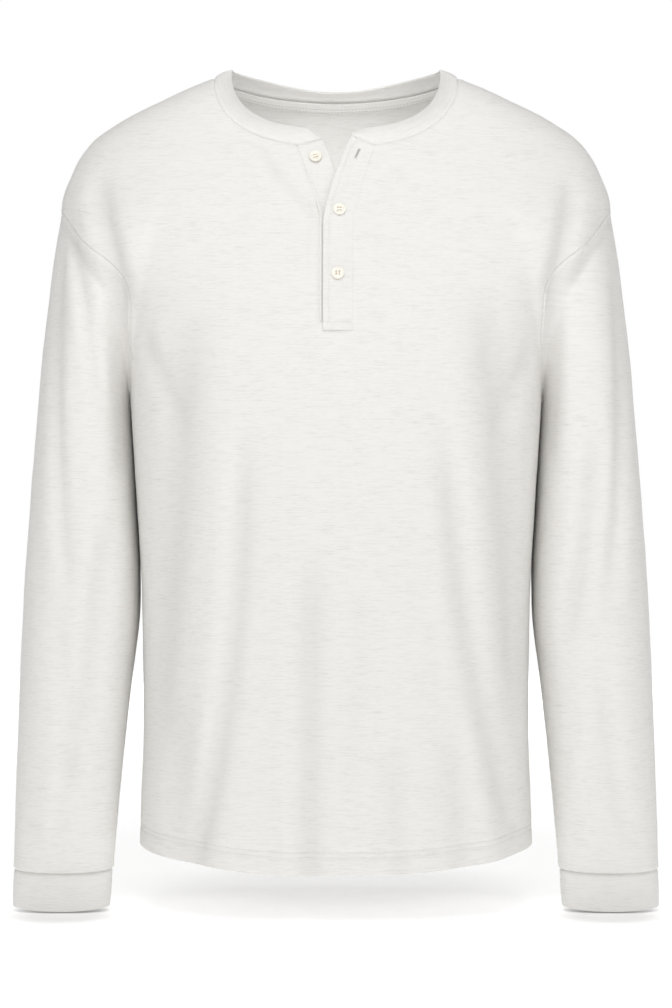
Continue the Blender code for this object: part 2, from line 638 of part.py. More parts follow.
def neckband_grid(front, back, under_top, upper_top):
    right_seam, right_edge = upper_top[::-1], band_edge(upper_top[::-1], FRONT)
    left_seam, left_edge = under_top, band_edge(under_top, FRONT)
    parts = [
        (right_seam[::-1][:-1], tapered(right_edge, right_seam)[::-1][:-1]),
        (front[-1, MARGIN:-1], band_edge(front[-1, MARGIN:-1], FRONT)),
        (back[-1], band_edge(back[-1], BACK)),
        (front[-1, 1 : SLIT_LEFT + 1], band_edge(front[-1, 1 : SLIT_LEFT + 1], FRONT)),
        (left_seam[1:], tapered(left_edge, left_seam)[1:]),
    ]
    seam, edge = (np.concatenate([part[index] for part in parts]) for index in (0, 1))
    seam = toward(seam, edge, SEAM_GAP / 2)
    out = np.cross(np.gradient(seam, axis=0), edge - seam)
    out /= np.linalg.norm(out, axis=-1, keepdims=True)
    crown = BAND_CROWN * np.minimum(np.linalg.norm(edge - seam, axis=-1, keepdims=True) / BAND_FULL, 1.0)
    shares = np.linspace(0.0, 1.0, BAND_ROWS + 1)
    return np.array([seam + (edge - seam) * share + out * crown * math.sin(math.pi * share) for share in shares])


def tape_cloth(back, grid):
    """The strip over the back neck seam, on the inner faces of the back and the neckband."""
    seam = grid[-1]
    edge = band_edge(seam, BACK)
    middle = seam - back.normals[-1] * (DOUBLE + SEAM_GAP)
    rows = [middle + toward(seam, grid[-2], TAPE_WIDTH - TAPE_RISE) - seam, middle]
    rows.append(middle + toward(seam, edge, TAPE_RISE) - seam)
    return Cloth(np.array(rows)[:, 1:-1], TAPE_WALL)


# --- buttons ------------------------------------------------------------------------------------------------


class Turning(NamedTuple):
    """A point of the button's turned profile."""

    out: float  # share of the radius
    up: float  # share of the thickness


BUTTON_PROFILE = [
    Turning(out=0.00, up=0.00),
    Turning(out=0.80, up=0.00),
    Turning(out=1.00, up=0.42),
    Turning(out=0.98, up=0.72),
    Turning(out=0.86, up=1.00),
    Turning(out=0.72, up=0.94),
    Turning(out=0.60, up=0.70),
    Turning(out=0.00, up=0.66),
]


def button_mesh():
    """A round four-hole button lying on its back, with a raised rim and a shallow dish."""
    mesh = bmesh.new()
    verts = [
        mesh.verts.new((point.out * BUTTON_DIAMETER / 2, 0.0, point.up * BUTTON_THICKNESS))
        for point in BUTTON_PROFILE
    ]
    edges = [mesh.edges.new(pair) for pair in zip(verts, verts[1:])]
    bmesh.ops.spin(
        mesh,
        geom=verts + edges,
        cent=(0, 0, 0),
        axis=(0, 0, 1),
        angle=2 * math.pi,
        steps=BUTTON_SEGMENTS,
        use_merge=True,
    )
    bmesh.ops.remove_doubles(mesh, verts=mesh.verts, dist=1e-6)
    bmesh.ops.recalc_face_normals(mesh, faces=mesh.faces)
    return mesh


def hole_cutter():
    """Four round pins, for a button's thread holes."""
    mesh = bmesh.new()
    for quarter in range(4):
        angle = math.pi / 4 + quarter * math.pi / 2
        made = bmesh.ops.create_cone(
            mesh,
            cap_ends=True,
            segments=8,
            radius1=BUTTON_HOLE / 2,
            radius2=BUTTON_HOLE / 2,
            depth=3 * BUTTON_THICKNESS,
        )
        place = (BUTTON_HOLE_SPREAD * math.cos(angle), BUTTON_HOLE_SPREAD * math.sin(angle), 0.0)
        bmesh.ops.translate(mesh, verts=made["verts"], vec=place)
    return mesh


def add_button(name, z, seam_x, offset, material):
    """A button in the middle of the placket whose left edge is seam_x(z), with its back this far off the face."""
    x = seam_x(z) + PLACKET_WIDTH / 2
    normal = Vector(face_normal(x, z, FRONT))
    button = add_object(name, button_mesh(), material)
    button.location = Vector(face_point(x, z, FRONT)) + normal * offset
    button.rotation_euler = normal.to_track_quat("Z", "Y").to_euler()
    cutter = add_object(name + "_holes", hole_cutter(), material)
    cutter.hide_render = True
    cutter.display_type = "WIRE"
    cutter.parent = button
    holes = button.modifiers.new("thread_holes", "BOOLEAN")
    holes.operation = "DIFFERENCE"
    holes.object = cutter


# --- the whole shirt ----------------------------------------------------------------------------------------


def build():
    for old in list(bpy.data.objects):
        bpy.data.objects.remove(old)
    jersey = make_material("heather_jersey", (0.80, 0.79, 0.76), 0.9)
    resin = make_material("button_resin", (0.90, 0.87, 0.78), 0.35)

    neck_front_z = NECK_SEAM_Z - NECK_FRONT_DROP
    front_grid = panel_grid(FRONT, front_shares, neck_front_z, NECK_FRONT_POWER)
    back_grid = panel_grid(BACK, back_shares, NECK_SEAM_Z - NECK_BACK_DROP, NECK_BACK_POWER)
    edge, _, _ = panel_rows(neck_front_z, NECK_FRONT_POWER)
    seam_z = edge[SLIT_BOTTOM - SLIT_ROW : -SHOULDER_ROWS, 0][::-1]
    sleeve = sleeve_grid(seam_z)
    cuff = cuff_grid(sleeve.shape[1])
    under, upper, under_top, upper_top = placket_grids(front_grid)

    front = front_cloth(front_grid)
    back = Cloth(eased(back_grid, BACK), hem_walls(len(back_grid)))
    pieces = {
        "front": front,
        "back": back,
        "sleeve_left": Cloth(creased(sleeve), JERSEY, closed=True),
        "sleeve_right": Cloth(creased(mirrored(sleeve)), JERSEY, closed=True),
        "cuff_left": Cloth(cuff, DOUBLE, closed=True),
        "cuff_right": Cloth(mirrored(cuff), DOUBLE, closed=True),
        "placket_under": Cloth(under, DOUBLE),
        "placket_upper": Cloth(upper, DOUBLE),
        "neckband": Cloth(neckband_grid(front_grid, back_grid, under_top, upper_top), DOUBLE),
    }
    share_normals(list(pieces.values()))
    pieces["neck_tape"] = tape_cloth(back, back_grid)
    for name, cloth in pieces.items():
        make_wall(name, cloth, jersey)

    on_under, on_upper = SEAM_GAP, 2 * SEAM_GAP + DOUBLE
    add_button("button_top", BUTTON_TOP_Z, under_seam_x, on_under, resin)
    add_button("button_middle", BUTTON_MIDDLE_Z, upper_edge_x, on_upper, resin)
    add_button("button_bottom", BUTTON_BOTTOM_Z, upper_edge_x, on_upper, resin)


build()
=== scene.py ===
import math
from typing import NamedTuple

import bmesh
import bpy
import numpy as np
from mathutils import Matrix, Vector


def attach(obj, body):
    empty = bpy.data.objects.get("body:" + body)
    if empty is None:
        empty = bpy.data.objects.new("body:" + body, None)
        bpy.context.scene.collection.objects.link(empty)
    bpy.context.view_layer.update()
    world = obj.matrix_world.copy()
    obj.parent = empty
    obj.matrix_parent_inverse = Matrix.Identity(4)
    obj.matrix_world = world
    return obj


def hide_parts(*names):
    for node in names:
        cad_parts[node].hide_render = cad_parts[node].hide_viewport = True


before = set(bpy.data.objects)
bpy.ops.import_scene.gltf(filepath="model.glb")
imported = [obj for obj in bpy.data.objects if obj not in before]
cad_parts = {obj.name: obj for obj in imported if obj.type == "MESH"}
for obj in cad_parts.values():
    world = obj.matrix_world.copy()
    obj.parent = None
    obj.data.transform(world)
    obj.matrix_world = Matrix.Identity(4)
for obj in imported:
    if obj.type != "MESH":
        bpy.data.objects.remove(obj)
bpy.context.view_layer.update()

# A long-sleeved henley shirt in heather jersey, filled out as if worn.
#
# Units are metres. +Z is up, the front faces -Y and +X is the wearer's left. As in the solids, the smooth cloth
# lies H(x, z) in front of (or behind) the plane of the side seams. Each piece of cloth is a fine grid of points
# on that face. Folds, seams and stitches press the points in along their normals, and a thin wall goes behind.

# --- sizes of the shirt, as in its solids ---------------------------------------------------------------

JERSEY = 0.0012  # one layer of cloth
DOUBLE = 0.0019  # a folded band or placket
SEAM_GAP = 0.0003
SIDE_SEAM_Y = 0.010  # plane of the side, shoulder and underarm seams

UNDERARM_Z = -0.315
SHOULDER_TIP_Z = -0.128
NECK_SEAM_X, NECK_SEAM_Z = 0.1115, -0.0096
HEM_SIDE_Z, HEM_DIP = -0.706, 0.0165
HEM_TURNING = 0.016

NECK_FRONT_DROP, NECK_FRONT_POWER = 0.0694, 2.25
NECK_BACK_DROP, NECK_BACK_POWER = 0.0139, 1.6
BAND_EDGE_X = 0.0952
BAND_FRONT_DROP, BAND_FRONT_POWER = 0.061, 2.5
BAND_BACK_DROP = 0.0101
BAND_FRONT_REACH, BAND_BACK_REACH, BAND_PLAN_POWER = 0.068, 0.056, 2.2
BAND_CROWN, BAND_FULL = 0.0016, 0.012
BAND_TIP = 0.07  # the share of the band's width that is left at its ends
UNDER_TAPER, UPPER_TAPER = 1.00, 0.66  # how fast its ends narrow
CORNER_ROUND, CORNER_HEIGHT = 0.0012, 0.0055  # how far in a placket's open corner is rounded, and how low

PLACKET_WIDTH = 0.026
PLACKET_UNDER_X = -0.0145
PLACKET_UPPER_X = -0.0115
PLACKET_LAP = 0.002
PLACKET_FOOT = 0.008
UNDER_SPREAD, UNDER_CLOSED_Z, UNDER_TOP_Z, UNDER_CURVE = 0.0215, -0.142, -0.0755, 1.15
UPPER_SPREAD, UPPER_CLOSED_Z, UPPER_TOP_Z, UPPER_CURVE = 0.0245, -0.150, -0.0695, 1.40
UNDER_RISE, UPPER_RISE, RISE_POWER = 0.0050, 0.0076, 1.3
RISE_HEIGHT = 0.0136  # the rows that rise to a placket's open corner are this far below its top

TAPE_WIDTH, TAPE_RISE = 0.0102, 0.0062
TAPE_WALL = 0.0008

LEVEL_RING_Z = -0.345

BUTTON_DIAMETER, BUTTON_THICKNESS = 0.0114, 0.0024
BUTTON_HOLE, BUTTON_HOLE_SPREAD = 0.0014, 0.0019

TORSO_POWER, ARM_POWER, JOIN_POWER = 2.6, 2.3, 3.0
ARM_FADE = 0.035  # the height over which an arm's lobe runs out above the shoulder's tip
YOKE_Z, ROW_BEND = -0.161, 2.2
NECK_LIFT, NECK_LIFT_X, NECK_LIFT_REACH = 0.0030, 0.120, 0.045  # how the shoulders rise to the neck
NECK_LIFT_START, NECK_LIFT_FULL = -0.080, -0.020
SLIT_SHARE = 0.5  # how far up the armhole's rows the placket's slit ends
SHOULDER_CROWDING = 0.8

FRONT, BACK = -1, 1  # the sign of a side's y


class Torso(NamedTuple):
    """A level section of the torso's lobe."""

    z: float
    half_width: float
    front: float  # depth from the plane of the side seams
    back: float


TORSO = [
    Torso(z=0.0000, half_width=0.0890, front=0.024, back=0.036),
    Torso(z=-0.0096, half_width=NECK_SEAM_X, front=0.030, back=0.050),
    Torso(z=-0.0238, half_width=0.1466, front=0.042, back=0.069),
    Torso(z=-0.0458, half_width=0.1942, front=0.056, back=0.085),
    Torso(z=-0.0677, half_width=0.2245, front=0.069, back=0.095),
    Torso(z=-0.0897, half_width=0.2390, front=0.082, back=0.102),
    Torso(z=-0.1280, half_width=0.2512, front=0.101, back=0.109),
    Torso(z=-0.1500, half_width=0.2440, front=0.110, back=0.112),
    Torso(z=-0.1800, half_width=0.2250, front=0.121, back=0.114),
    Torso(z=-0.2100, half_width=0.2060, front=0.129, back=0.114),
    Torso(z=-0.2400, half_width=0.1945, front=0.134, back=0.112),
    Torso(z=-0.2700, half_width=0.1890, front=0.136, back=0.110),
    Torso(z=-0.3150, half_width=0.1870, front=0.136, back=0.106),
    Torso(z=-0.3935, half_width=0.1820, front=0.133, back=0.100),
    Torso(z=-0.4900, half_width=0.1770, front=0.130, back=0.098),
    Torso(z=-0.6000, half_width=0.1757, front=0.127, back=0.102),
    Torso(z=-0.6700, half_width=0.1780, front=0.126, back=0.104),
    Torso(z=-0.7300, half_width=0.1800, front=0.126, back=0.104),
]


class Arm(NamedTuple):
    """A level section of an arm's lobe."""

    z: float
    inner: float  # x of the side that faces the torso
    outer: float
    depth: float  # half of the section, front to back
    middle_y: float


ARM = [
    Arm(z=-0.1280, inner=0.1500, outer=0.2512, depth=0.032, middle_y=0.010),
    Arm(z=-0.1500, inner=0.1560, outer=0.2540, depth=0.052, middle_y=0.010),
    Arm(z=-0.1800, inner=0.1640, outer=0.2582, depth=0.062, middle_y=0.010),
    Arm(z=-0.2100, inner=0.1715, outer=0.2613, depth=0.067, middle_y=0.010),
    Arm(z=-0.2400, inner=0.1780, outer=0.2648, depth=0.070, middle_y=0.010),
    Arm(z=-0.2700, inner=0.1827, outer=0.2682, depth=0.071, middle_y=0.010),
    Arm(z=-0.3150, inner=0.1875, outer=0.2720, depth=0.070, middle_y=0.010),
    Arm(z=-0.3500, inner=0.1856, outer=0.2753, depth=0.068, middle_y=0.009),
    Arm(z=-0.3935, inner=0.1832, outer=0.2792, depth=0.065, middle_y=0.007),
    Arm(z=-0.4670, inner=0.1796, outer=0.2848, depth=0.059, middle_y=0.003),
    Arm(z=-0.4900, inner=0.1798, outer=0.2858, depth=0.057, middle_y=0.001),
    Arm(z=-0.5570, inner=0.1868, outer=0.2884, depth=0.050, middle_y=-0.004),
    Arm(z=-0.6240, inner=0.1938, outer=0.2902, depth=0.042, middle_y=-0.010),
    Arm(z=-0.7000, inner=0.2006, outer=0.2920, depth=0.033, middle_y=-0.017),
    Arm(z=-0.7270, inner=0.2022, outer=0.2922, depth=0.028, middle_y=-0.020),
]
CUFF_TOP = Arm(z=-0.7273, inner=0.2034, outer=0.2915, depth=0.0235, middle_y=-0.020)
CUFF_BOTTOM = Arm(z=-0.7643, inner=0.2052, outer=0.2924, depth=0.0215, middle_y=-0.024)


class Armhole(NamedTuple):
    """A point of the armhole seam."""

    z: float
    front: float  # x of the seam on the front
    back: float


ARMHOLE = [
    Armhole(z=-0.1280, front=0.2512, back=0.2512),
    Armhole(z=-0.1365, front=0.2450, back=0.2455),
    Armhole(z=-0.1570, front=0.2290, back=0.2310),
    Armhole(z=-0.1820, front=0.2050, back=0.2120),
    Armhole(z=-0.2040, front=0.1895, back=0.2000),
    Armhole(z=-0.2250, front=0.1850, back=0.1935),
    Armhole(z=-0.2500, front=0.1845, back=0.1900),
    Armhole(z=-0.2800, front=0.1855, back=0.1882),
    Armhole(z=-0.3150, front=0.1872, back=0.1872),
]

# --- folds ------------------------------------------------------------------------------------------------


class Fold(NamedTuple):
    """A soft trough in the cloth, from one point to another.

    It bows sideways by bow in the middle. A raised lip of this share of its depth runs along its right side, as
    seen in the direction of the fold, or along its left side where the share is negative.
    """

    x0: float
    z0: float
    x1: float
    z1: float
    width: float
    depth: float
    bow: float = 0.0
    lip: float = 0.3


# Folds that cross the armhole seams, which the panels and the sleeves share.
SHARED_FOLDS = {
    FRONT: [
        Fold(x0=-0.214, z0=-0.105, x1=-0.188, z1=-0.222, width=0.0110, depth=0.0068, bow=0.001),
        Fold(x0=0.212, z0=-0.110, x1=0.191, z1=-0.215, width=0.0100, depth=0.0058, bow=-0.001, lip=-0.3),
    ],
    BACK: [
        Fold(x0=-0.226, z0=-0.118, x1=-0.194, z1=-0.240, width=0.0120, depth=0.0045, bow=0.003),
        Fold(x0=0.222, z0=-0.110, x1=0.196, z1=-0.232, width=0.0120, depth=0.0050, bow=-0.004, lip=-0.3),
    ],
}
BODY_FOLDS = {
    FRONT: [
        Fold(x0=-0.133, z0=-0.250, x1=-0.166, z1=-0.620, width=0.0180, depth=0.0052, bow=-0.003, lip=-0.3),
        Fold(x0=-0.082, z0=-0.355, x1=-0.122, z1=-0.715, width=0.0105, depth=0.0052, bow=-0.010),
        Fold(x0=-0.022, z0=-0.450, x1=-0.024, z1=-0.760, width=0.0125, depth=0.0056, bow=0.001),
        Fold(x0=0.098, z0=-0.350, x1=0.154, z1=-0.680, width=0.0115, depth=0.0050, bow=0.007),
        Fold(x0=0.135, z0=-0.230, x1=0.164, z1=-0.570, width=0.0170, depth=0.0052, bow=-0.002),
        Fold(x0=-0.070, z0=-0.070, x1=-0.016, z1=-0.140, width=0.0060, depth=0.0026, bow=0.002),
        Fold(x0=0.052, z0=-0.600, x1=0.060, z1=-0.745, width=0.0130, depth=0.0034, bow=0.003),
        Fold(x0=0.018, z0=-0.470, x1=0.008, z1=-0.640, width=0.0130, depth=0.0020, bow=-0.003, lip=-0.3),
        Fold(x0=0.108, z0=-0.600, x1=0.116, z1=-0.745, width=0.0150, depth=0.0034, bow=0.002, lip=-0.3),
        Fold(x0=-0.136, z0=-0.570, x1=-0.134, z1=-0.745, width=0.0170, depth=0.0040),
        Fold(x0=-0.176, z0=-0.245, x1=-0.140, z1=-0.330, width=0.0090, depth=0.0030, bow=-0.003),
        Fold(x0=0.178, z0=-0.255, x1=0.146, z1=-0.330, width=0.0090, depth=0.0028, bow=0.003, lip=-0.3),
        Fold(x0=0.060, z0=-0.090, x1=0.022, z1=-0.150, width=0.0070, depth=0.0018, bow=0.002),
    ],
    BACK: [
        Fold(x0=-0.120, z0=-0.230, x1=-0.136, z1=-0.560, width=0.0150, depth=0.0072, bow=0.005),
        Fold(x0=0.112, z0=-0.250, x1=0.140, z1=-0.620, width=0.0140, depth=0.0068, bow=-0.004, lip=-0.3),
        Fold(x0=0.040, z0=-0.430, x1=0.052, z1=-0.745, width=0.0130, depth=0.0070, bow=0.005),
        Fold(x0=-0.045, z0=-0.500, x1=-0.062, z1=-0.745, width=0.0120, depth=0.0058, bow=-0.003, lip=-0.3),
        Fold(x0=0.006, z0=-0.560, x1=-0.004, z1=-0.745, width=0.0120, depth=0.0034, bow=0.003),
        Fold(x0=-0.098, z0=-0.600, x1=-0.104, z1=-0.745, width=0.0110, depth=0.0042, bow=0.002),
        Fold(x0=0.096, z0=-0.650, x1=0.101, z1=-0.745, width=0.0110, depth=0.0036, lip=-0.3),
        Fold(x0=-0.100, z0=-0.055, x1=-0.015, z1=-0.115, width=0.0120, depth=0.0012, bow=-0.006),
        Fold(x0=0.108, z0=-0.060, x1=0.025, z1=-0.128, width=0.0130, depth=0.0013, bow=-0.007),
        Fold(x0=-0.165, z0=-0.170, x1=-0.128, z1=-0.290, width=0.0120, depth=0.0028, bow=0.003),
        Fold(x0=0.168, z0=-0.180, x1=0.132, z1=-0.300, width=0.0120, depth=0.0026, bow=-0.003, lip=-0.3),
    ],
}
SLEEVE_FOLDS = {
    FRONT: [
        Fold(x0=-0.2370, z0=-0.150, x1=-0.2110, z1=-0.300, width=0.0065, depth=0.0034),
        Fold(x0=-0.1980, z0=-0.200, x1=-0.1900, z1=-0.370, width=0.0090, depth=0.0038),
        Fold(x0=-0.2500, z0=-0.145, x1=-0.2400, z1=-0.470, width=0.0080, depth=0.0036, bow=0.006),
        Fold(x0=-0.2050, z0=-0.420, x1=-0.2250, z1=-0.600, width=0.0105, depth=0.0040, bow=0.003),
        Fold(x0=-0.2480, z0=-0.500, x1=-0.2380, z1=-0.640, width=0.0095, depth=0.0028, bow=-0.003, lip=-0.3),
        Fold(x0=-0.2350, z0=-0.620, x1=-0.2510, z1=-0.700, width=0.0080, depth=0.0020),
        Fold(x0=0.2270, z0=-0.160, x1=0.2130, z1=-0.200, width=0.0070, depth=0.0024, lip=-0.3),
        Fold(x0=0.1970, z0=-0.205, x1=0.1900, z1=-0.360, width=0.0085, depth=0.0034, lip=-0.3),
        Fold(x0=0.2550, z0=-0.165, x1=0.2460, z1=-0.470, width=0.0080, depth=0.0036, bow=-0.006, lip=-0.3),
        Fold(x0=0.2310, z0=-0.340, x1=0.2070, z1=-0.515, width=0.0100, depth=0.0044, bow=-0.003, lip=-0.3),
        Fold(x0=0.2380, z0=-0.560, x1=0.2560, z1=-0.690, width=0.0100, depth=0.0034, bow=0.003),
        Fold(x0=0.2250, z0=-0.615, x1=0.2400, z1=-0.700, width=0.0080, depth=0.0020),
    ],
    BACK: [
        Fold(x0=-0.2260, z0=-0.240, x1=-0.2360, z1=-0.480, width=0.0105, depth=0.0050, bow=0.003),
        Fold(x0=-0.2500, z0=-0.500, x1=-0.2360, z1=-0.680, width=0.0095, depth=0.0036, bow=-0.003),
        Fold(x0=-0.2080, z0=-0.330, x1=-0.2160, z1=-0.470, width=0.0095, depth=0.0030, lip=-0.3),
        Fold(x0=0.2220, z0=-0.220, x1=0.2380, z1=-0.430, width=0.0105, depth=0.0050, bow=0.003, lip=-0.3),
        Fold(x0=0.2320, z0=-0.480, x1=0.2520, z1=-0.640, width=0.0100, depth=0.0040, bow=0.003, lip=-0.3),
        Fold(x0=0.2540, z0=-0.250, x1=0.2580, z1=-0.400, width=0.0085, depth=0.0026),
    ],
}
FOLD_FADE = 0.14  # a fold fades out over this share of its length on each side of its end
LIP_PLACE, LIP_WIDTH = 1.75, 0.95  # of a fold's lip, in widths of the fold
FOLDS_START, FOLDS_FULL = 0.020, 0.080  # depths of the body between which its folds grow to full depth
SLEEVE_FOLDS_START, SLEEVE_FOLDS_FULL = 0.25, 0.75  # the same on a sleeve, as shares of its half depth

DRAPE_DEPTH, DRAPE_TOP_Z, DRAPE_AT_SIDES = 0.0016, -0.40, 0.35  # long waves that grow towards the hem
SLEEVE_DRAPE_DEPTH = 0.0007
HEM_LIFT, HEM_LIFT_REACH = 0.0012, 0.06  # how far the hem's edge wanders up and down, and how far up it shows
CRUMPLE_DEPTH = 0.00022  # faint unevenness all over

# --- seams and stitches -----------------------------------------------------------------------------------

DITCH_DEPTH, DITCH_WIDTH = 0.00085, 0.0010  # the groove that a seam draws in the cloth
PUFF_HEIGHT, PUFF_PLACE, PUFF_WIDTH = 0.00030, 0.0036, 0.0019  # the cloth's swelling beside it
PUCKER_DEPTH, PUCKER_LENGTH, PUCKER_REACH = 0.00028, 0.0105, 0.0075
GROOVE_DEPTH, GROOVE_WIDTH = 0.00075, 0.0011  # the groove that a line of stitches draws
HEM_STITCHES = (0.0152, 0.0192)  # above the hem's edge
HEM_PUCKER_DEPTH, HEM_PUCKER_LENGTH = 0.00035, 0.0120
PLACKET_STITCH = 0.0052  # inside the upper placket's free edge
BOX_STITCH_Z = -0.2385  # across the upper placket's foot
TAPE_STITCHES = (0.0012, 0.0042)  # above the neck tape's lower edge
FOLDED_EDGE = 0.93  # how far round a folded edge turns, where 1 is a whole half circle

UPPER_LIFT, UPPER_SEAM_LIFT = 0.0024, 0.0006  # of the upper placket off the face, at its edge and at its seam
LIFT_SHARE = 0.45  # of the upper placket's width, over which it lifts
UNDER_SINK, UNDER_SINK_REACH = 0.0020, (0.0004, 0.0040)  # of the under placket, beside the upper one's edge
MARGIN_RISE, MARGIN_REACH = 0.0004, 0.0035  # of the front, up to the upper placket's seam

# --- how fine the grids are -------------------------------------------------------------------------------

SEAM_STEPS = np.array([0.0, 0.0003, 0.0007, 0.0012, 0.0020, 0.0032, 0.0048])  # from a seam
STITCH_STEPS = np.array([-0.0010, -0.0004, 0.0, 0.0004, 0.0010])  # from a line of stitches
BODY_ROWS = 112  # below the armhole
ARMHOLE_ROWS = 56  # also half of a sleeve's columns
SHOULDER_ROWS = 48
HALF_FRONT_COLUMNS = 74
SLIT_COLUMNS = 9
BACK_COLUMNS = 150
SLEEVE_ROWS = 112
HEAD_ROWS = 52
CUFF_ROWS = 12
BAND_ROWS = 8
PLACKET_COLUMNS = 12
PLACKET_STEP = 0.0026  # between rows
DENSE = 400  # points of a line before it is spaced out
BUTTON_SEGMENTS = 72


class Profile:
    """A smooth curve through one column of a table, against z, that never overshoots its rows."""

    def __init__(self, rows, column):
        rows = sorted(rows, key=lambda row: row.z)
        self.z = np.array([row.z for row in rows])
        self.value = np.array([row._asdict()[column] for row in rows])
        slope = np.diff(self.value) / np.diff(self.z)
        same = slope[1:] * slope[:-1] > 0
        total = np.where(same, slope[1:] + slope[:-1], 1.0)
        inner = np.where(same, 2.0 * slope[1:] * slope[:-1] / total, 0.0)
        self.tangent = np.concatenate([slope[:1], inner, slope[-1:]])

    def __call__(self, z):
        z = np.clip(z, self.z[0], self.z[-1])
        i = np.clip(np.searchsorted(self.z, z) - 1, 0, len(self.z) - 2)
        step = self.z[i + 1] - self.z[i]
        t = (z - self.z[i]) / step
        start = self.value[i] * (1 + 2 * t) + self.tangent[i] * step * t
        end = self.value[i + 1] * (3 - 2 * t) - self.tangent[i + 1] * step * (1 - t)
        return start * (1 - t) ** 2 + end * t**2


torso_half_width = Profile(TORSO, "half_width")
torso_depth = {FRONT: Profile(TORSO, "front"), BACK: Profile(TORSO, "back")}
arm_inner = Profile(ARM, "inner")
arm_outer = Profile(ARM, "outer")
arm_depth = Profile(ARM, "depth")
arm_middle_y = Profile(ARM, "middle_y")
armhole_x = {FRONT: Profile(ARMHOLE, "front"), BACK: Profile(ARMHOLE, "back")}


def lobe(share, power):
    """The rise of a superellipse, 1 in the middle (share 0) and 0 at its edge (share 1)."""
    return np.clip(1.0 - np.abs(share) ** power, 0.0, 1.0) ** (1.0 / power)


def grown(value, start, full):
    """0 up to the start, rising evenly to 1 where the value is full."""
    return np.clip((value - start) / (full - start), 0.0, 1.0)


def eased(value, start, full):
    """0 up to the start, rising smoothly to 1 where the value is full."""
    share = grown(value, start, full)
    return share * share * (3.0 - 2.0 * share)


def bell(distance, width):
    return np.exp(-((distance / width) ** 2))


def ripple(along, wavelength, phase=0.0):
    """An uneven wave, from about -1 to 1."""
    turn = 2 * math.pi * along / wavelength + phase
    return (np.sin(turn) + 0.6 * np.sin(1.73 * turn + 1.3) + 0.4 * np.sin(0.61 * turn + 4.1)) / 2


def face_depth(x, z, side):
    """H(x, z): how far the smooth cloth lies from the plane of the side seams."""
    x, z = np.broadcast_arrays(np.asarray(x, float), np.asarray(z, float))
    torso = torso_depth[side](z) * lobe(x / torso_half_width(z), TORSO_POWER)
    inner, outer = arm_inner(z), np.minimum(arm_outer(z), np.where(z > SHOULDER_TIP_Z, torso_half_width(z), 1.0))
    arm = arm_depth(z) * lobe((2 * np.abs(x) - inner - outer) / (outer - inner), ARM_POWER)
    arm = np.where(z > UNDERARM_Z, arm, 0.0) * eased(z, SHOULDER_TIP_Z + ARM_FADE, SHOULDER_TIP_Z)
    return (torso**JOIN_POWER + arm**JOIN_POWER) ** (1 / JOIN_POWER)


def face_point(x, z, side):
    """The point of the smooth outer face at (x, z)."""
    x, z = np.broadcast_arrays(np.asarray(x, float), np.asarray(z, float))
    return np.stack([x, SIDE_SEAM_Y + side * face_depth(x, z, side), z], axis=-1)


def face_normal(x, z, side, step=0.002):
    """The outward normal of the smooth face."""
    dx = (face_depth(x + step, z, side) - face_depth(x - step, z, side)) / (2 * step)
    dz = (face_depth(x, z + step, side) - face_depth(x, z - step, side)) / (2 * step)
    normal = np.stack([-dx, side * np.ones_like(dx), -dz], axis=-1)
    return normal / np.linalg.norm(normal, axis=-1, keepdims=True)


def raised(points):
    """The points, lifted a little beside the neck."""
    x, y, z = np.moveaxis(points, -1, 0)
    lift = NECK_LIFT * bell(np.abs(x) - NECK_LIFT_X, NECK_LIFT_REACH)
    return np.stack([x, y, z + lift * eased(z, NECK_LIFT_START, NECK_LIFT_FULL)], axis=-1)


def fold_depth(x, z, folds):
    """How far these folds sink the cloth at (x, z)."""
    total = np.zeros(np.broadcast(x, z).shape)
    for fold in folds:
        along = np.array([fold.x1 - fold.x0, fold.z1 - fold.z0])
        length = math.hypot(*along)
        along /= length
        run = ((x - fold.x0) * along[0] + (z - fold.z0) * along[1]) / length
        right = (x - fold.x0) * along[1] - (z - fold.z0) * along[0]
        right = (right - fold.bow * np.sin(math.pi * np.clip(run, 0.0, 1.0))) / fold.width
        fade = eased(np.minimum(run, 1.0 - run), -FOLD_FADE, FOLD_FADE)
        lip = abs(fold.lip) * bell(right - math.copysign(LIP_PLACE, fold.lip), LIP_WIDTH)
        total = total + fold.depth * fade * (bell(right, 1.0) - lip)
    return total


def toward(points, targets, distance):
    """The points, each moved this far towards its target."""
    run = targets - points
    return points + run / np.linalg.norm(run, axis=-1, keepdims=True) * distance


def unit(vectors):
    return vectors / np.linalg.norm(vectors, axis=-1, keepdims=True)


def steps_along(points, axis):
    """Each point's distance from the first, along its column (axis 0) or row (axis 1)."""
    run = np.cumsum(np.linalg.norm(np.diff(points, axis=axis), axis=-1), axis=axis)
    return np.concatenate([np.zeros_like(run.take([0], axis=axis)), run], axis=axis)


def stations(length, count, lines=(), start=True, end=True):
    """Distances along a length: about this many steps, and closer ones at its sewn ends and lines of stitches."""
    first = SEAM_STEPS if start else SEAM_STEPS[:1]
    last = length - (SEAM_STEPS if end else SEAM_STEPS[:1])[::-1]
    clusters = [first, *(line + STITCH_STEPS for line in lines), last]
    step = (last[0] - first[-1]) / count
    found = [first]
    for before, after in zip(clusters, clusters[1:]):
        after = after[after > before[-1] + SEAM_STEPS[1]]
        steps = max(round((after[0] - before[-1]) / step), 1)
        found += [np.linspace(before[-1], after[0], steps + 1)[1:-1], after]
    return np.concatenate(found)


def respaced(line, count, start=True, end=True, lines=()):
    """The line, as points at stations along it."""
    along = steps_along(line, 0)
    places = stations(along[-1], count, lines, start, end)
    return np.stack([np.interp(places, along, line[:, axis]) for axis in range(3)], axis=-1)


# --- pieces of cloth ----------------------------------------------------------------------------------------


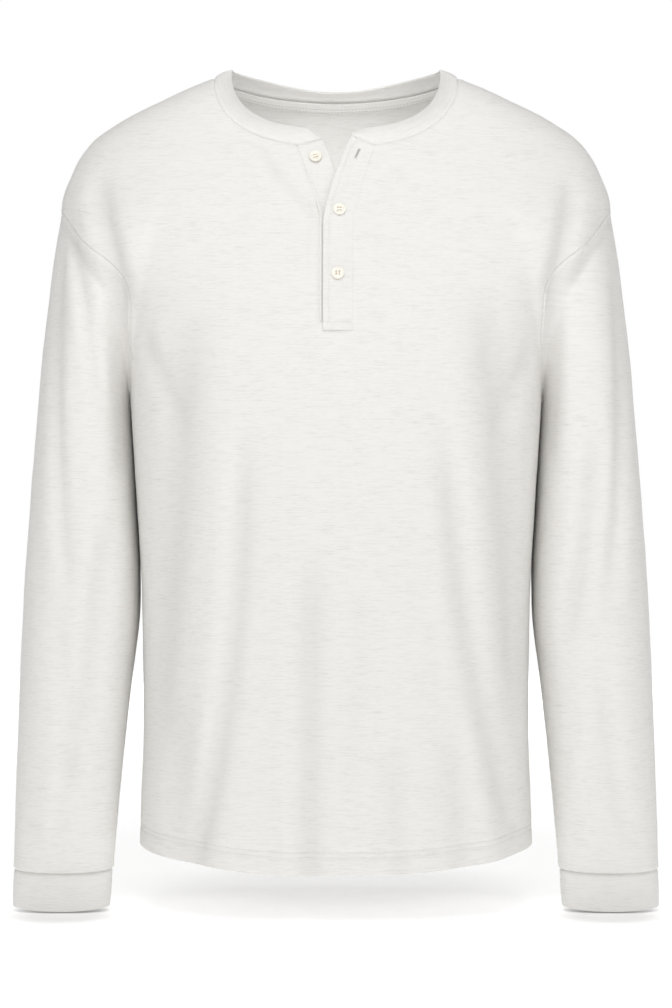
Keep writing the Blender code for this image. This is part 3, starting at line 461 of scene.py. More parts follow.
class Cloth:
    """A piece of cloth: a grid of smooth outer points, with rows up it and columns anticlockwise from above."""

    def __init__(self, grid, thickness, closed=False):
        rows, columns = grid.shape[:2]
        self.grid = grid
        self.closed = closed  # the last column joins the first
        self.kept = np.ones((rows - 1, columns if closed else columns - 1), bool)  # the cells that are cloth
        self.thickness = np.full((rows, columns), thickness)
        self.sunk = np.zeros((rows, columns))  # how far the cloth is pressed in
        self.trough = np.zeros((rows, columns))  # how much of that is a fold, which the material darkens as painted shade
        self.pinch = np.zeros((rows, columns))  # how far both faces close in on each other, at a folded edge
        around = np.roll(grid, -1, axis=1) - np.roll(grid, 1, axis=1) if closed else np.gradient(grid, axis=1)
        self.normals = unit(np.cross(around, np.gradient(grid, axis=0)))
        up, across = steps_along(grid, 0), steps_along(grid, 1)
        self.from_bottom, self.from_top = up, up[-1:] - up
        self.from_start, self.from_end = across, across[:, -1:] - across
        self.uv = None  # the cloth's own measures, in metres

    def border(self):
        """Rows and columns of the points along the grid's edges."""
        rows, columns = self.grid.shape[:2]
        ends = [(row, column) for row in (0, rows - 1) for column in range(columns)]
        sides = [] if self.closed else [(row, column) for row in range(rows) for column in (0, columns - 1)]
        return sorted(set(ends + sides))

    def creased(self, depth):
        """Sinks folds of this depth into the cloth."""
        self.sunk += depth
        # The folds' depth is kept as well, for the painted shade that darkens them.
        self.trough += depth

    def sewn(self, distance, along, phase=0.0):
        """Draws a seam in the cloth: a groove at this distance, the swelling beside it and its puckers."""
        self.sunk += DITCH_DEPTH * bell(distance, DITCH_WIDTH)
        self.sunk -= PUFF_HEIGHT * bell(distance - PUFF_PLACE, PUFF_WIDTH)
        swell = np.exp(-distance / PUCKER_REACH) * (1.0 - np.exp(-distance / DITCH_WIDTH))
        self.sunk += PUCKER_DEPTH * ripple(along, PUCKER_LENGTH, phase) * swell

    def stitched(self, distance):
        """Draws the groove of a line of stitches at this distance."""
        self.sunk += GROOVE_DEPTH * bell(distance, GROOVE_WIDTH)

    def crumpled(self, u, v):
        """Makes the whole piece faintly uneven, apart from its edges."""
        rows = (self.from_top, self.from_bottom)
        edges = rows if self.closed else (*rows, self.from_start, self.from_end)
        inside = np.minimum.reduce([np.broadcast_to(edge, self.sunk.shape) for edge in edges])
        waves = ripple(u + 0.4 * v, 0.043) * ripple(v - 0.3 * u, 0.071) + 0.6 * ripple(u - 0.5 * v, 0.027, 2.0)
        self.sunk += CRUMPLE_DEPTH * waves * eased(inside, 0.002, 0.015)

    def folded(self, distance):
        """Rounds the edge at this distance, where the cloth is folded back on itself."""
        radius = self.thickness / 2
        inside = np.clip(radius - distance, 0.0, None) * FOLDED_EDGE
        self.pinch = np.maximum(self.pinch, radius - np.sqrt(radius**2 - inside**2))

    def outer(self):
        return self.grid - self.normals * (self.sunk + self.pinch)[..., None]

    def inner(self):
        return self.grid - self.normals * (self.sunk + self.thickness - self.pinch)[..., None]

    def flat_size(self):
        """The width and length that the piece was cut from, and its area."""
        outer = self.outer()
        ring = np.concatenate([outer, outer[:, :1]], axis=1) if self.closed else outer
        width, length = steps_along(ring, 1)[:, -1].max(), steps_along(outer, 0)[-1].max()
        across, up = np.diff(ring, axis=1), np.diff(ring, axis=0)
        cells = np.linalg.norm(np.cross(across[:-1], up[:, :-1]), axis=-1)
        return float(width), float(length), float(cells[self.kept].sum())


def share_normals(pieces):
    """Gives neighbouring pieces the same normal along their seam, so that their faces meet."""
    places = [(piece, at) for piece in pieces for at in piece.border()]
    points = np.array([piece.grid[at] for piece, at in places])
    normals = np.array([piece.normals[at] for piece, at in places])
    for (piece, at), point in zip(places, points):
        near = np.linalg.norm(points - point, axis=1) < 2 * SEAM_GAP
        piece.normals[at] = unit(normals[near].sum(axis=0))


def closed_uv(cloth):
    """Measures of a tube of cloth: round it from its first column, and its height."""
    ring = np.concatenate([cloth.grid, cloth.grid[:, :1]], axis=1)
    return np.stack([steps_along(ring, 1), ring[..., 2]], axis=-1)


def link(name, mesh):
    piece = bpy.data.objects.new(name, mesh)
    bpy.context.scene.collection.objects.link(piece)
    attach(piece, "root")
    return piece


def add_cloth(name, node, cloth, material, slot):
    """The piece's closed shell, which stands for this solid."""
    rows, columns = cloth.grid.shape[:2]
    count = rows * columns
    points = np.concatenate([cloth.outer().reshape(-1, 3), cloth.inner().reshape(-1, 3)])
    i, j = np.nonzero(cloth.kept)
    k = (j + 1) % columns
    quads = np.stack([i * columns + j, i * columns + k, (i + 1) * columns + k, (i + 1) * columns + j], axis=1)
    spots = np.stack([i, j, i, j + 1, i + 1, j + 1, i + 1, j], axis=1).reshape(-1, 4, 2)
    starts, ends = quads.ravel(), np.roll(quads, -1, axis=1).ravel()
    start_spots, end_spots = spots.reshape(-1, 2), np.roll(spots, -1, axis=1).reshape(-1, 2)
    rim = ~np.isin(starts * count + ends, ends * count + starts)
    walls = np.stack([ends[rim], starts[rim], starts[rim] + count, ends[rim] + count], axis=1)
    wall_spots = np.stack([end_spots[rim], start_spots[rim], start_spots[rim], end_spots[rim]], axis=1)
    used, faces = np.unique(np.concatenate([quads, quads[:, ::-1] + count, walls]), return_inverse=True)
    spots = np.concatenate([spots, spots[:, ::-1], wall_spots])
    mesh = bpy.data.meshes.new(name)
    mesh.from_pydata(points[used].tolist(), [], faces.reshape(-1, 4).tolist())
    layer = mesh.uv_layers.new(name="cloth")
    layer.data.foreach_set("uv", cloth.uv[spots[..., 0], spots[..., 1]].astype(np.float32).ravel())
    # The fold depth goes on the mesh, for the painted shade in the folds.
    trough = mesh.attributes.new("trough", "FLOAT", "POINT")
    trough.data.foreach_set("value", np.tile(cloth.trough.ravel(), 2)[used].astype(np.float32))
    mesh.materials.append(material)
    mesh.shade_smooth()
    piece = link(name, mesh)
    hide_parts(node)
    return piece


# --- front and back panels ------------------------------------------------------------------------------


def armhole_z(share):
    """Heights of points up an armhole, closest together at the shoulder's tip, where it turns most."""
    return UNDERARM_Z + (SHOULDER_TIP_Z - UNDERARM_Z) * (1 - (1 - share**1.1) ** 1.5)


class PanelRows:
    """The rows of both panels: each one's height at its ends and in the middle, and the curve between them."""

    def __init__(self, neck_z, neck_power):
        body = UNDERARM_Z - HEM_SIDE_Z
        self.above_hem = stations(body, BODY_ROWS, lines=HEM_STITCHES, end=False)
        edge = [HEM_SIDE_Z + self.above_hem]
        middle = [edge[0] - HEM_DIP * (1 - self.above_hem / body) ** 2]
        shares = np.arange(1, ARMHOLE_ROWS + 1) / ARMHOLE_ROWS
        edge.append(armhole_z(shares))
        middle.append(UNDERARM_Z + (YOKE_Z - UNDERARM_Z) * shares)
        front_run = NECK_SEAM_Z - NECK_FRONT_DROP - YOKE_Z
        shoulder = stations(front_run, SHOULDER_ROWS, start=False)[1:] / front_run
        edge.append(SHOULDER_TIP_Z + (NECK_SEAM_Z - SHOULDER_TIP_Z) * shoulder**SHOULDER_CROWDING)
        middle.append(YOKE_Z + (neck_z - YOKE_Z) * shoulder)
        power = np.ones(len(self.above_hem) + ARMHOLE_ROWS)
        self.edge, self.middle = (np.concatenate(parts)[:, None] for parts in (edge, middle))
        self.power = np.concatenate([power, 1.0 + (1.0 / neck_power - 1.0) * shoulder])[:, None]
        self.bend = ROW_BEND + (neck_power - ROW_BEND) * grown(self.edge, SHOULDER_TIP_Z, NECK_SEAM_Z)
        self.slit_bottom = len(self.above_hem) - 1 + round(ARMHOLE_ROWS * SLIT_SHARE)

    def half_width(self, side):
        on_armhole = (self.edge >= UNDERARM_Z) & (self.edge <= SHOULDER_TIP_Z)
        return np.where(on_armhole, armhole_x[side](self.edge), torso_half_width(self.edge))

    def stretch(self, side, start, end, count, fine_start=False, fine_end=False):
        """All rows between these two shares of their half-width, as columns spaced along the cloth."""
        turn = np.arcsin(start) + (np.arcsin(end) - np.arcsin(start)) * np.linspace(0.0, 1.0, DENSE)
        share = np.sin(turn)
        z = self.edge + (self.middle - self.edge) * (1 - np.abs(share) ** self.bend) ** self.power
        dense = face_point(self.half_width(side) * share, z, side)
        return np.array([respaced(row, count, fine_start, fine_end) for row in dense])

    def around(self, grid, side):
        """Each point's angle round the body, from the front's middle."""
        turn = np.arcsin(np.clip(grid[..., 0] / self.half_width(side), -1.0, 1.0))
        return turn if side == FRONT else math.pi - turn


def lifted(grid, around):
    """The panel with its hem wandering up and down a little, apart from at the side seams."""
    lift = HEM_LIFT * ripple(around, 1.1) * np.cos(around) ** 2
    grid = grid.copy()
    grid[..., 2] += lift * eased(grid[..., 2], HEM_SIDE_Z + HEM_LIFT_REACH, HEM_SIDE_Z - HEM_DIP)
    return grid


def spread(z, most, closed_z, top_z, curve):
    """How far the open neck has moved an edge of the placket sideways at height z."""
    return most * np.clip((z - closed_z) / (top_z - closed_z), 0.0, None) ** curve


def under_seam_x(z):
    return PLACKET_UNDER_X - spread(z, UNDER_SPREAD, UNDER_CLOSED_Z, UNDER_TOP_Z, UNDER_CURVE)


def upper_edge_x(z):
    return PLACKET_UPPER_X + spread(z, UPPER_SPREAD, UPPER_CLOSED_Z, UPPER_TOP_Z, UPPER_CURVE)


def slit_right_x(z):
    """The cut edge of the wearer's left front, under the upper placket's margin."""
    return upper_edge_x(z) + PLACKET_WIDTH - PLACKET_LAP


def front_grid(rows):
    """The front's points, and its columns at the slit's left edge, its right edge and the stitched margin."""
    half = rows.half_width(FRONT)
    left, right = under_seam_x(rows.middle) / half, slit_right_x(rows.middle) / half
    margin = right + PLACKET_LAP / half
    parts = [
        rows.stretch(FRONT, np.full_like(half, -1.0), left, HALF_FRONT_COLUMNS, True, True),
        rows.stretch(FRONT, left, right, SLIT_COLUMNS)[:, 1:],
        rows.stretch(FRONT, margin, np.full_like(half, 1.0), HALF_FRONT_COLUMNS, False, True),
    ]
    slit_left = parts[0].shape[1] - 1
    slit_right = slit_left + SLIT_COLUMNS
    return np.concatenate(parts, axis=1), slit_left, slit_right, slit_right + 1


def back_grid(rows):
    half = rows.half_width(BACK)
    return rows.stretch(BACK, np.full_like(half, 1.0), np.full_like(half, -1.0), BACK_COLUMNS, True, True)


def level_measure(x, z, side, steps=24):
    """The length of the face's level line from the middle to each point."""
    depth = np.stack([face_depth(x * share, z, side) for share in np.linspace(0.0, 1.0, steps + 1)])
    return np.sign(x) * np.hypot(np.diff(depth, axis=0), x / steps).sum(axis=0)


def drape(around, z):
    """The long waves of the shirt's body, the same on both sides of a side seam."""
    wave = np.cos(5 * around + 0.6) + 0.7 * np.cos(8 * around + 2.1) + 0.5 * np.cos(13 * around + 4.4)
    strength = DRAPE_AT_SIDES + (1 - DRAPE_AT_SIDES) * np.cos(around) ** 2
    return DRAPE_DEPTH * eased(z, DRAPE_TOP_Z, HEM_SIDE_Z) * strength * wave


def panel_cloth(side, grid, rows):
    """A panel with its folds, seams and hem."""
    around = rows.around(grid, side)
    cloth = Cloth(lifted(grid, around), JERSEY)
    x, y, z = np.moveaxis(grid, -1, 0)
    cloth.uv = np.stack([level_measure(x, z, side), z], axis=-1)
    room = grown(side * (y - SIDE_SEAM_Y), FOLDS_START, FOLDS_FULL)
    from_side = np.minimum(cloth.from_start, cloth.from_end)
    cloth.creased(fold_depth(x, z, BODY_FOLDS[side]) * room * eased(from_side, 0.004, 0.030))
    cloth.creased(fold_depth(x, z, SHARED_FOLDS[side]) * room)
    cloth.sunk += drape(around, z)
    cloth.sewn(cloth.from_start, z, 0.0)
    cloth.sewn(cloth.from_end, z, 2.0)
    cloth.sewn(cloth.from_top, x, 1.0)
    above_hem = np.full(len(grid), np.inf)
    above_hem[: len(rows.above_hem)] = rows.above_hem
    above_hem = np.broadcast_to(above_hem[:, None], x.shape)
    cloth.thickness[above_hem < HEM_TURNING] = DOUBLE
    cloth.folded(above_hem)
    for line in HEM_STITCHES:
        cloth.stitched(above_hem - line)
    puckers = ripple(cloth.uv[..., 0] + 0.15 * z, HEM_PUCKER_LENGTH)
    cloth.sunk += HEM_PUCKER_DEPTH * puckers * bell(above_hem - HEM_STITCHES[0], HEM_TURNING / 2)
    cloth.crumpled(*np.moveaxis(cloth.uv, -1, 0))
    return cloth


def front_cloth(grid, rows, slit_left, slit_right):
    cloth = panel_cloth(FRONT, grid, rows)
    cloth.kept[rows.slit_bottom :, slit_left:slit_right] = False
    beside = np.clip(cloth.from_start[:, slit_left : slit_left + 1] - cloth.from_start, 0.0, None)
    below = np.clip(grid[rows.slit_bottom, slit_left, 2] - grid[..., 2], 0.0, None)
    columns = np.arange(grid.shape[1])
    cloth.sewn(np.where(columns <= slit_right, np.hypot(beside, below), np.inf), grid[..., 2], 3.0)
    beside = np.clip(cloth.from_start - cloth.from_start[:, slit_right + 1 : slit_right + 2], 0.0, None)
    cloth.sunk -= np.where(columns > slit_right, MARGIN_RISE * bell(np.hypot(beside, below), MARGIN_REACH), 0.0)
    return cloth


# --- sleeves and cuffs ------------------------------------------------------------------------------------

TUCK = 0.0034  # the height over which a sleeve's end curls in to its cuff
CUFF_SEAM_SAG, SAG_REACH = 0.0018, 0.050  # how far the cuff's seam dips at the front and back
CUFF_EDGE_RISE, CUFF_SIDE_RISE = 0.0008, 0.0027  # how its edge rises all round, and more at the sides


def ring_xy(turn, inner, outer, depth, middle_y):
    """Points of an arm's level section: turn 0 is the outside, a quarter turn the front."""
    power = 2 / ARM_POWER
    across, ahead = (np.sign(f(turn)) * np.abs(f(turn)) ** power for f in (np.cos, np.sin))
    return (inner + outer) / 2 + (outer - inner) / 2 * across, middle_y - depth * ahead


def level_ring(z, sizes, sag=0.0):
    """An arm's section at this height, which sags at its front and back."""
    turn = math.pi * np.arange(2 * ARMHOLE_ROWS) / ARMHOLE_ROWS
    x, y = ring_xy(turn, *sizes)
    return np.stack([x, y, z - sag * np.sin(turn) ** 2], axis=-1)


def sleeve_head():
    """Rows from the level ring up to the armhole seam, for the wearer's left arm."""
    count = ARMHOLE_ROWS
    column = np.arange(2 * count)
    front = column <= count
    place = np.where(front, column, 2 * count - column)
    z_seam = armhole_z(1 - place / count)
    x_seam = np.where(front, armhole_x[FRONT](z_seam), armhole_x[BACK](z_seam))
    middle = (arm_inner(z_seam) + arm_outer(z_seam)) / 2
    half = (arm_outer(z_seam) - arm_inner(z_seam)) / 2
    across = np.clip((x_seam - middle) / half, -1.0, 1.0)
    seam_turn = np.arccos(np.sign(across) * np.abs(across) ** (ARM_POWER / 2))
    longest = SHOULDER_TIP_Z - LEVEL_RING_Z
    found = []
    for drop in 1 - stations(longest, HEAD_ROWS, start=False) / longest:
        turn = seam_turn + (math.pi * place / count - seam_turn) * drop
        z = z_seam + (LEVEL_RING_Z - z_seam) * drop
        x, y = ring_xy(turn, arm_inner(z), arm_outer(z), arm_depth(z), arm_middle_y(z))
        x = np.where(drop == 0.0, x_seam, x)
        on_front, on_back = (SIDE_SEAM_Y + side * face_depth(x, z, side) for side in (FRONT, BACK))
        below = np.where(front, y, 2 * arm_middle_y(z) - y)
        found.append(np.stack([x, np.where(z >= UNDERARM_Z, np.where(front, on_front, on_back), below), z], axis=-1))
    return np.array(found)


def from_inside(rings):
    """The rings' columns, turned to run anticlockwise from above from the seam on their inner side."""
    return np.roll(rings[:, ::-1], rings.shape[1] // 2 + 1, axis=1)


def sleeve_grid():
    """The wearer's left sleeve without its folds, from its end up to the armhole."""
    rings = []
    for height in stations(LEVEL_RING_Z - CUFF_TOP.z, SLEEVE_ROWS, end=False)[:-1]:
        z = CUFF_TOP.z + height
        tuck = 1 - math.sqrt(1 - (1 - min(height / TUCK, 1.0)) ** 2)
        sizes = (arm_inner(z), arm_outer(z), arm_depth(z), arm_middle_y(z))
        sizes = [size + (cuff - size) * tuck for size, cuff in zip(sizes, CUFF_TOP[1:])]
        rings.append(level_ring(z, sizes, CUFF_SEAM_SAG * eased(height, SAG_REACH, 0.0)))
    return from_inside(np.concatenate([np.array(rings), sleeve_head()]))


def sleeve_cloth(grid):
    cloth = Cloth(grid, JERSEY, closed=True)
    x, y, z = np.moveaxis(grid, -1, 0)
    cloth.uv = closed_uv(cloth)
    around, girth = cloth.uv[:, :-1, 0], cloth.uv[:, -1:, 0]
    out = (y - arm_middle_y(z)) / arm_depth(z)
    room = grown(np.abs(out), SLEEVE_FOLDS_START, SLEEVE_FOLDS_FULL) * eased(cloth.from_top, 0.0, 0.012)
    shared_room = grown(np.abs(y - SIDE_SEAM_Y), FOLDS_START, FOLDS_FULL) * (z > UNDERARM_Z)
    for side, here in ((FRONT, out < 0), (BACK, out >= 0)):
        cloth.creased(fold_depth(x, z, SLEEVE_FOLDS[side]) * room * here)
        cloth.creased(fold_depth(x, z, SHARED_FOLDS[side]) * shared_room * here)
    turn = np.arctan2(y - arm_middle_y(z), np.abs(x) - (arm_inner(z) + arm_outer(z)) / 2)
    wave = np.cos(3 * turn + 9 * z) + 0.7 * np.cos(5 * turn - 14 * z + 1.0)
    ends = eased(np.minimum(cloth.from_top, cloth.from_bottom), 0.003, 0.035)
    cloth.sunk += SLEEVE_DRAPE_DEPTH * wave * ends
    cloth.sewn(cloth.from_top, around, 0.7)
    cloth.sewn(cloth.from_bottom, around, 2.7)
    cloth.sewn(np.minimum(around, girth - around), z, 1.9)
    cloth.crumpled(around, z)
    return cloth


def cuff_grid():
    """The wearer's left cuff, from its folded edge up to the sleeve."""
    height = CUFF_TOP.z - CUFF_BOTTOM.z
    rings = []
    for share in stations(height, CUFF_ROWS) / height:
        z, *sizes = (low + (high - low) * share for low, high in zip(CUFF_BOTTOM, CUFF_TOP))
        rise = (CUFF_EDGE_RISE + CUFF_SIDE_RISE) * (1 - share)
        rings.append(level_ring(z + rise, sizes, CUFF_SIDE_RISE * (1 - share) + CUFF_SEAM_SAG * share))
    return from_inside(np.array(rings))


CUFF_CROWN = 0.0005  # how far a cuff swells out between its seam and its edge


def cuff_cloth(grid):
    cloth = Cloth(grid, DOUBLE, closed=True)
    cloth.uv = closed_uv(cloth)
    around, girth = cloth.uv[:, :-1, 0], cloth.uv[:, -1:, 0]
    share = cloth.from_bottom / cloth.from_bottom[-1:]
    cloth.sunk -= CUFF_CROWN * np.sin(math.pi * share) * (1 + 0.5 * ripple(around, 0.05))
    cloth.folded(cloth.from_bottom)
    cloth.sewn(cloth.from_top, around, 1.4)
    cloth.sewn(np.minimum(around, girth - around), grid[..., 2], 0.4)
    return cloth


def mirrored(grid):
    """The grid on the other side of the shirt, its columns turned to keep their direction and their start."""
    flipped = np.roll(grid[:, ::-1], 1, axis=1)
    flipped[..., 0] *= -1
    return flipped


# --- placket ----------------------------------------------------------------------------------------------

placket_places = stations(PLACKET_WIDTH, PLACKET_COLUMNS, lines=(PLACKET_WIDTH - PLACKET_STITCH,))
placket_shares = placket_places / PLACKET_WIDTH  # of its width, from its seam to its free edge


def placket_face(line, lean_x, direction, rise, lines=()):
    """x and z of a strip of the face, from its seam's line (first column) to its free edge.

    lean_x(z) is how the opening carries the strip sideways, and its top rows rise to the open corner.
    """
    length = steps_along(line, 0)[-1]
    seam = respaced(line, round(length / PLACKET_STEP), lines=lines)
    seam_x, seam_z = seam[:, :1], seam[:, 2:]
    z = seam_z + rise * placket_shares**RISE_POWER * grown(seam_z, seam_z[-1] - RISE_HEIGHT, seam_z[-1])
    width = PLACKET_WIDTH - CORNER_ROUND * bell(seam_z[-1] - seam_z, CORNER_HEIGHT)
    x = seam_x + lean_x(z) - lean_x(seam_z) + direction * width * placket_shares
    return x, z


def strip(x, z, offset):
    """The face's points at (x, z), moved out along its normals."""
    return face_point(x, z, FRONT) + face_normal(x, z, FRONT) * np.asarray(offset)[..., None]


def under_placket(line):
    x, z = placket_face(line, under_seam_x, 1, UNDER_RISE)
    cloth = Cloth(strip(x, z, np.zeros_like(x)), DOUBLE)
    cloth.uv = np.stack([x, z], axis=-1)
    cloth.sunk += UNDER_SINK * eased(cloth.from_start, *UNDER_SINK_REACH) * eased(cloth.from_top, 0.004, 0.050)
    cloth.sewn(cloth.from_start, z, 0.3)
    cloth.sewn(cloth.from_top, x, 0.9)
    cloth.folded(cloth.from_end)
    cloth.crumpled(x, z)
    return cloth


def upper_placket(line):
    box_stitch = BOX_STITCH_Z - line[0, 2]
    x, z = (values[:, ::-1] for values in placket_face(line, upper_edge_x, -1, UPPER_RISE, (box_stitch,)))
    share = placket_shares[::-1]
    lift = UPPER_SEAM_LIFT + (UPPER_LIFT - UPPER_SEAM_LIFT) * eased(share, 0.0, LIFT_SHARE)
    lift = np.broadcast_to(lift, x.shape)
    cloth = Cloth(strip(x, z, lift), DOUBLE)
    cloth.thickness = np.minimum(cloth.thickness, lift - SEAM_GAP)
    cloth.uv = np.stack([x, z], axis=-1)
    cloth.stitched(cloth.from_start - PLACKET_STITCH)
    cloth.stitched(z - BOX_STITCH_Z)
    cloth.sewn(cloth.from_top, x, 0.9)
    cloth.folded(cloth.from_start)
    cloth.folded(cloth.from_bottom)
    cloth.crumpled(x, z)
    return cloth


# --- neckband and neck tape ---------------------------------------------------------------------------------

CORNER_REACH = 0.009  # how far the neckband's free edge is rounded on each side of a shoulder
CORNER_BLUR = 0.0035


def softened(values, along, corners):
    """Values along a line, smoothed near its corners."""
    spacing = np.gradient(along)
    weights = bell(along[:, None] - along[None], CORNER_BLUR) * spacing
    weights /= weights.sum(axis=1, keepdims=True)
    near = np.maximum.reduce([bell(along - along[corner], CORNER_REACH) for corner in corners])[:, None]
    return values + near * (weights @ values - values)


def band_edge(points, side):
    """The neckband's free edge, opposite these points of the neckline."""
    share = points[:, 0] / NECK_SEAM_X
    x = share * BAND_EDGE_X
    share = np.clip(np.abs(share), 0.0, 1.0)
    if side == FRONT:
        z = -BAND_FRONT_DROP * lobe(share, BAND_FRONT_POWER)
        reach = BAND_FRONT_REACH
    else:
        z = -BAND_BACK_DROP * np.cos(share * math.pi / 2) ** 2
        reach = BAND_BACK_REACH
    return raised(np.stack([x, SIDE_SEAM_Y + side * reach * lobe(share, BAND_PLAN_POWER), z], axis=-1))


def tapered(seam, power):
    """The band's free edge over a placket, rounding down to the placket's open corner (last)."""
    edge = band_edge(seam, FRONT)
    to_corner = 1 - steps_along(seam, 0) / steps_along(seam, 0)[-1]
    width = BAND_TIP + (1 - BAND_TIP) * np.sin(math.pi / 2 * to_corner**power)
    return seam + (edge - seam) * width[:, None]


def neckband_cloth(front, back, slit_left, margin, under_top, upper_top):
    """The neckband, from the open corner of the upper placket round the neck to that of the under placket."""
    left_front, right_front = front[-1, 1 : slit_left + 1], front[-1, margin + 1 : -1]
    over_upper = tapered(upper_top[::-1], UPPER_TAPER)[::-1]
    parts = [
        (upper_top, over_upper),
        (right_front, band_edge(right_front, FRONT)),
        (back[-1], band_edge(back[-1], BACK)),
        (left_front, band_edge(left_front, FRONT)),
        (under_top[1:], tapered(under_top, UNDER_TAPER)[1:]),
    ]
    seam, edge = (np.concatenate([part[index] for part in parts]) for index in (0, 1))
    shoulder = len(upper_top) + len(right_front)
    corners = (shoulder, shoulder + len(back[-1]) - 1)
    along = steps_along(seam, 0)
    edge = softened(edge, along, corners)
    width = np.linalg.norm(edge - seam, axis=-1, keepdims=True)
    out = unit(softened(unit(np.cross(np.gradient(seam, axis=0), edge - seam)), along, corners))
    crown = BAND_CROWN * np.minimum(width / BAND_FULL, 1.0)
    shares = stations(BAND_FULL, BAND_ROWS) / BAND_FULL
    grid = np.array([seam + (edge - seam) * share + out * crown * math.sin(math.pi * share) for share in shares])
    cloth = Cloth(grid, DOUBLE)
    cloth.normals = np.array([unit(softened(row, along, corners)) for row in cloth.normals])
    cloth.uv = np.stack(np.broadcast_arrays(along, cloth.from_bottom), axis=-1)
    cloth.sewn(cloth.from_bottom, along, 2.2)
    for distance in (cloth.from_top, cloth.from_start, cloth.from_end):
        cloth.folded(distance)
    cloth.crumpled(along, cloth.from_bottom)
    return cloth


def tape_cloth(back, normals):
    """The strip over the back neck seam, on the inner faces of the back and the neckband."""
    seam, below = back[-1], back[-len(SEAM_STEPS)]
    edge = band_edge(seam, BACK)
    middle = seam - normals * (DOUBLE + DITCH_DEPTH + SEAM_GAP)
    rows = []
    for place in stations(TAPE_WIDTH, PLACKET_COLUMNS, TAPE_STITCHES, False, False) + TAPE_RISE - TAPE_WIDTH:
        rows.append(middle + toward(seam, edge if place > 0 else below, abs(place)) - seam)
    skipped = len(SEAM_STEPS) - 1  # the columns closest to the shoulder seams
    cloth = Cloth(np.array(rows)[:, skipped:-skipped], TAPE_WALL)
    cloth.uv = np.stack([cloth.from_start, cloth.from_bottom], axis=-1)
    return cloth


# --- materials ------------------------------------------------------------------------------------------------

OFF_WHITE = (0.850, 0.838, 0.812, 1.0)
GREY_STREAK = (0.655, 0.640, 0.612, 1.0)
ROSE_STREAK = (0.760, 0.715, 0.685, 1.0)
WALE, COURSE = 0.00085, 0.00062  # width and height of a knitted loop
DEEP_TROUGH, PAINTED_FOLD_SHADE = 0.0070, 0.08  # painted shade: a fold this deep has its colour darkened by this share, in place of the shade in it


class Graph:
    """A material's nodes."""

    def __init__(self, name):
        self.material = bpy.data.materials.new(name)
        self.material.use_nodes = True
        self.nodes, self.links = self.material.node_tree.nodes, self.material.node_tree.links
        self.shader = self.nodes["Principled BSDF"]

    def put(self, socket, value):
        if isinstance(value, bpy.types.NodeSocket):
            self.links.new(value, socket)
        else:
            socket.default_value = value

    def add(self, kind, settings=None, inputs=None):
        node = self.nodes.new(kind)
        for name, value in (settings or {}).items():
            setattr(node, name, value)
        for name, value in (inputs or {}).items():
            self.put(node.inputs[name], value)
        return node

    def math(self, operation, first, second=0.0):
        node = self.add("ShaderNodeMath", {"operation": operation}, {0: first, 1: second})
        return node.outputs[0]

    def mix(self, share, first, second):
        node = self.add("ShaderNodeMix", {"data_type": "RGBA"}, {0: share, 6: first, 7: second})
        return node.outputs[2]

    def streaks(self, place, length, height, detail=2.0):
        """Noise in streaks of about this length and height."""
        scale = {0: place, 1: (1 / length, 1 / height, 1.0)}
        scaled = self.add("ShaderNodeVectorMath", {"operation": "MULTIPLY"}, scale)
        inputs = {"Vector": scaled.outputs[0], "Scale": 1.0, "Detail": detail, "Roughness": 0.6}
        return self.add("ShaderNodeTexNoise", {"noise_dimensions": "2D"}, inputs).outputs[0]

    def ramp(self, value, start, end):
        """0 up to the start, rising smoothly to 1 at the end."""
        inputs = {"Value": value, "From Min": start, "From Max": end}
        return self.add("ShaderNodeMapRange", {"interpolation_type": "SMOOTHSTEP"}, inputs).outputs[0]

    def bump(self, height, strength, distance):
        inputs = {"Height": height, "Strength": strength, "Distance": distance}
        self.put(self.shader.inputs["Normal"], self.add("ShaderNodeBump", None, inputs).outputs[0])


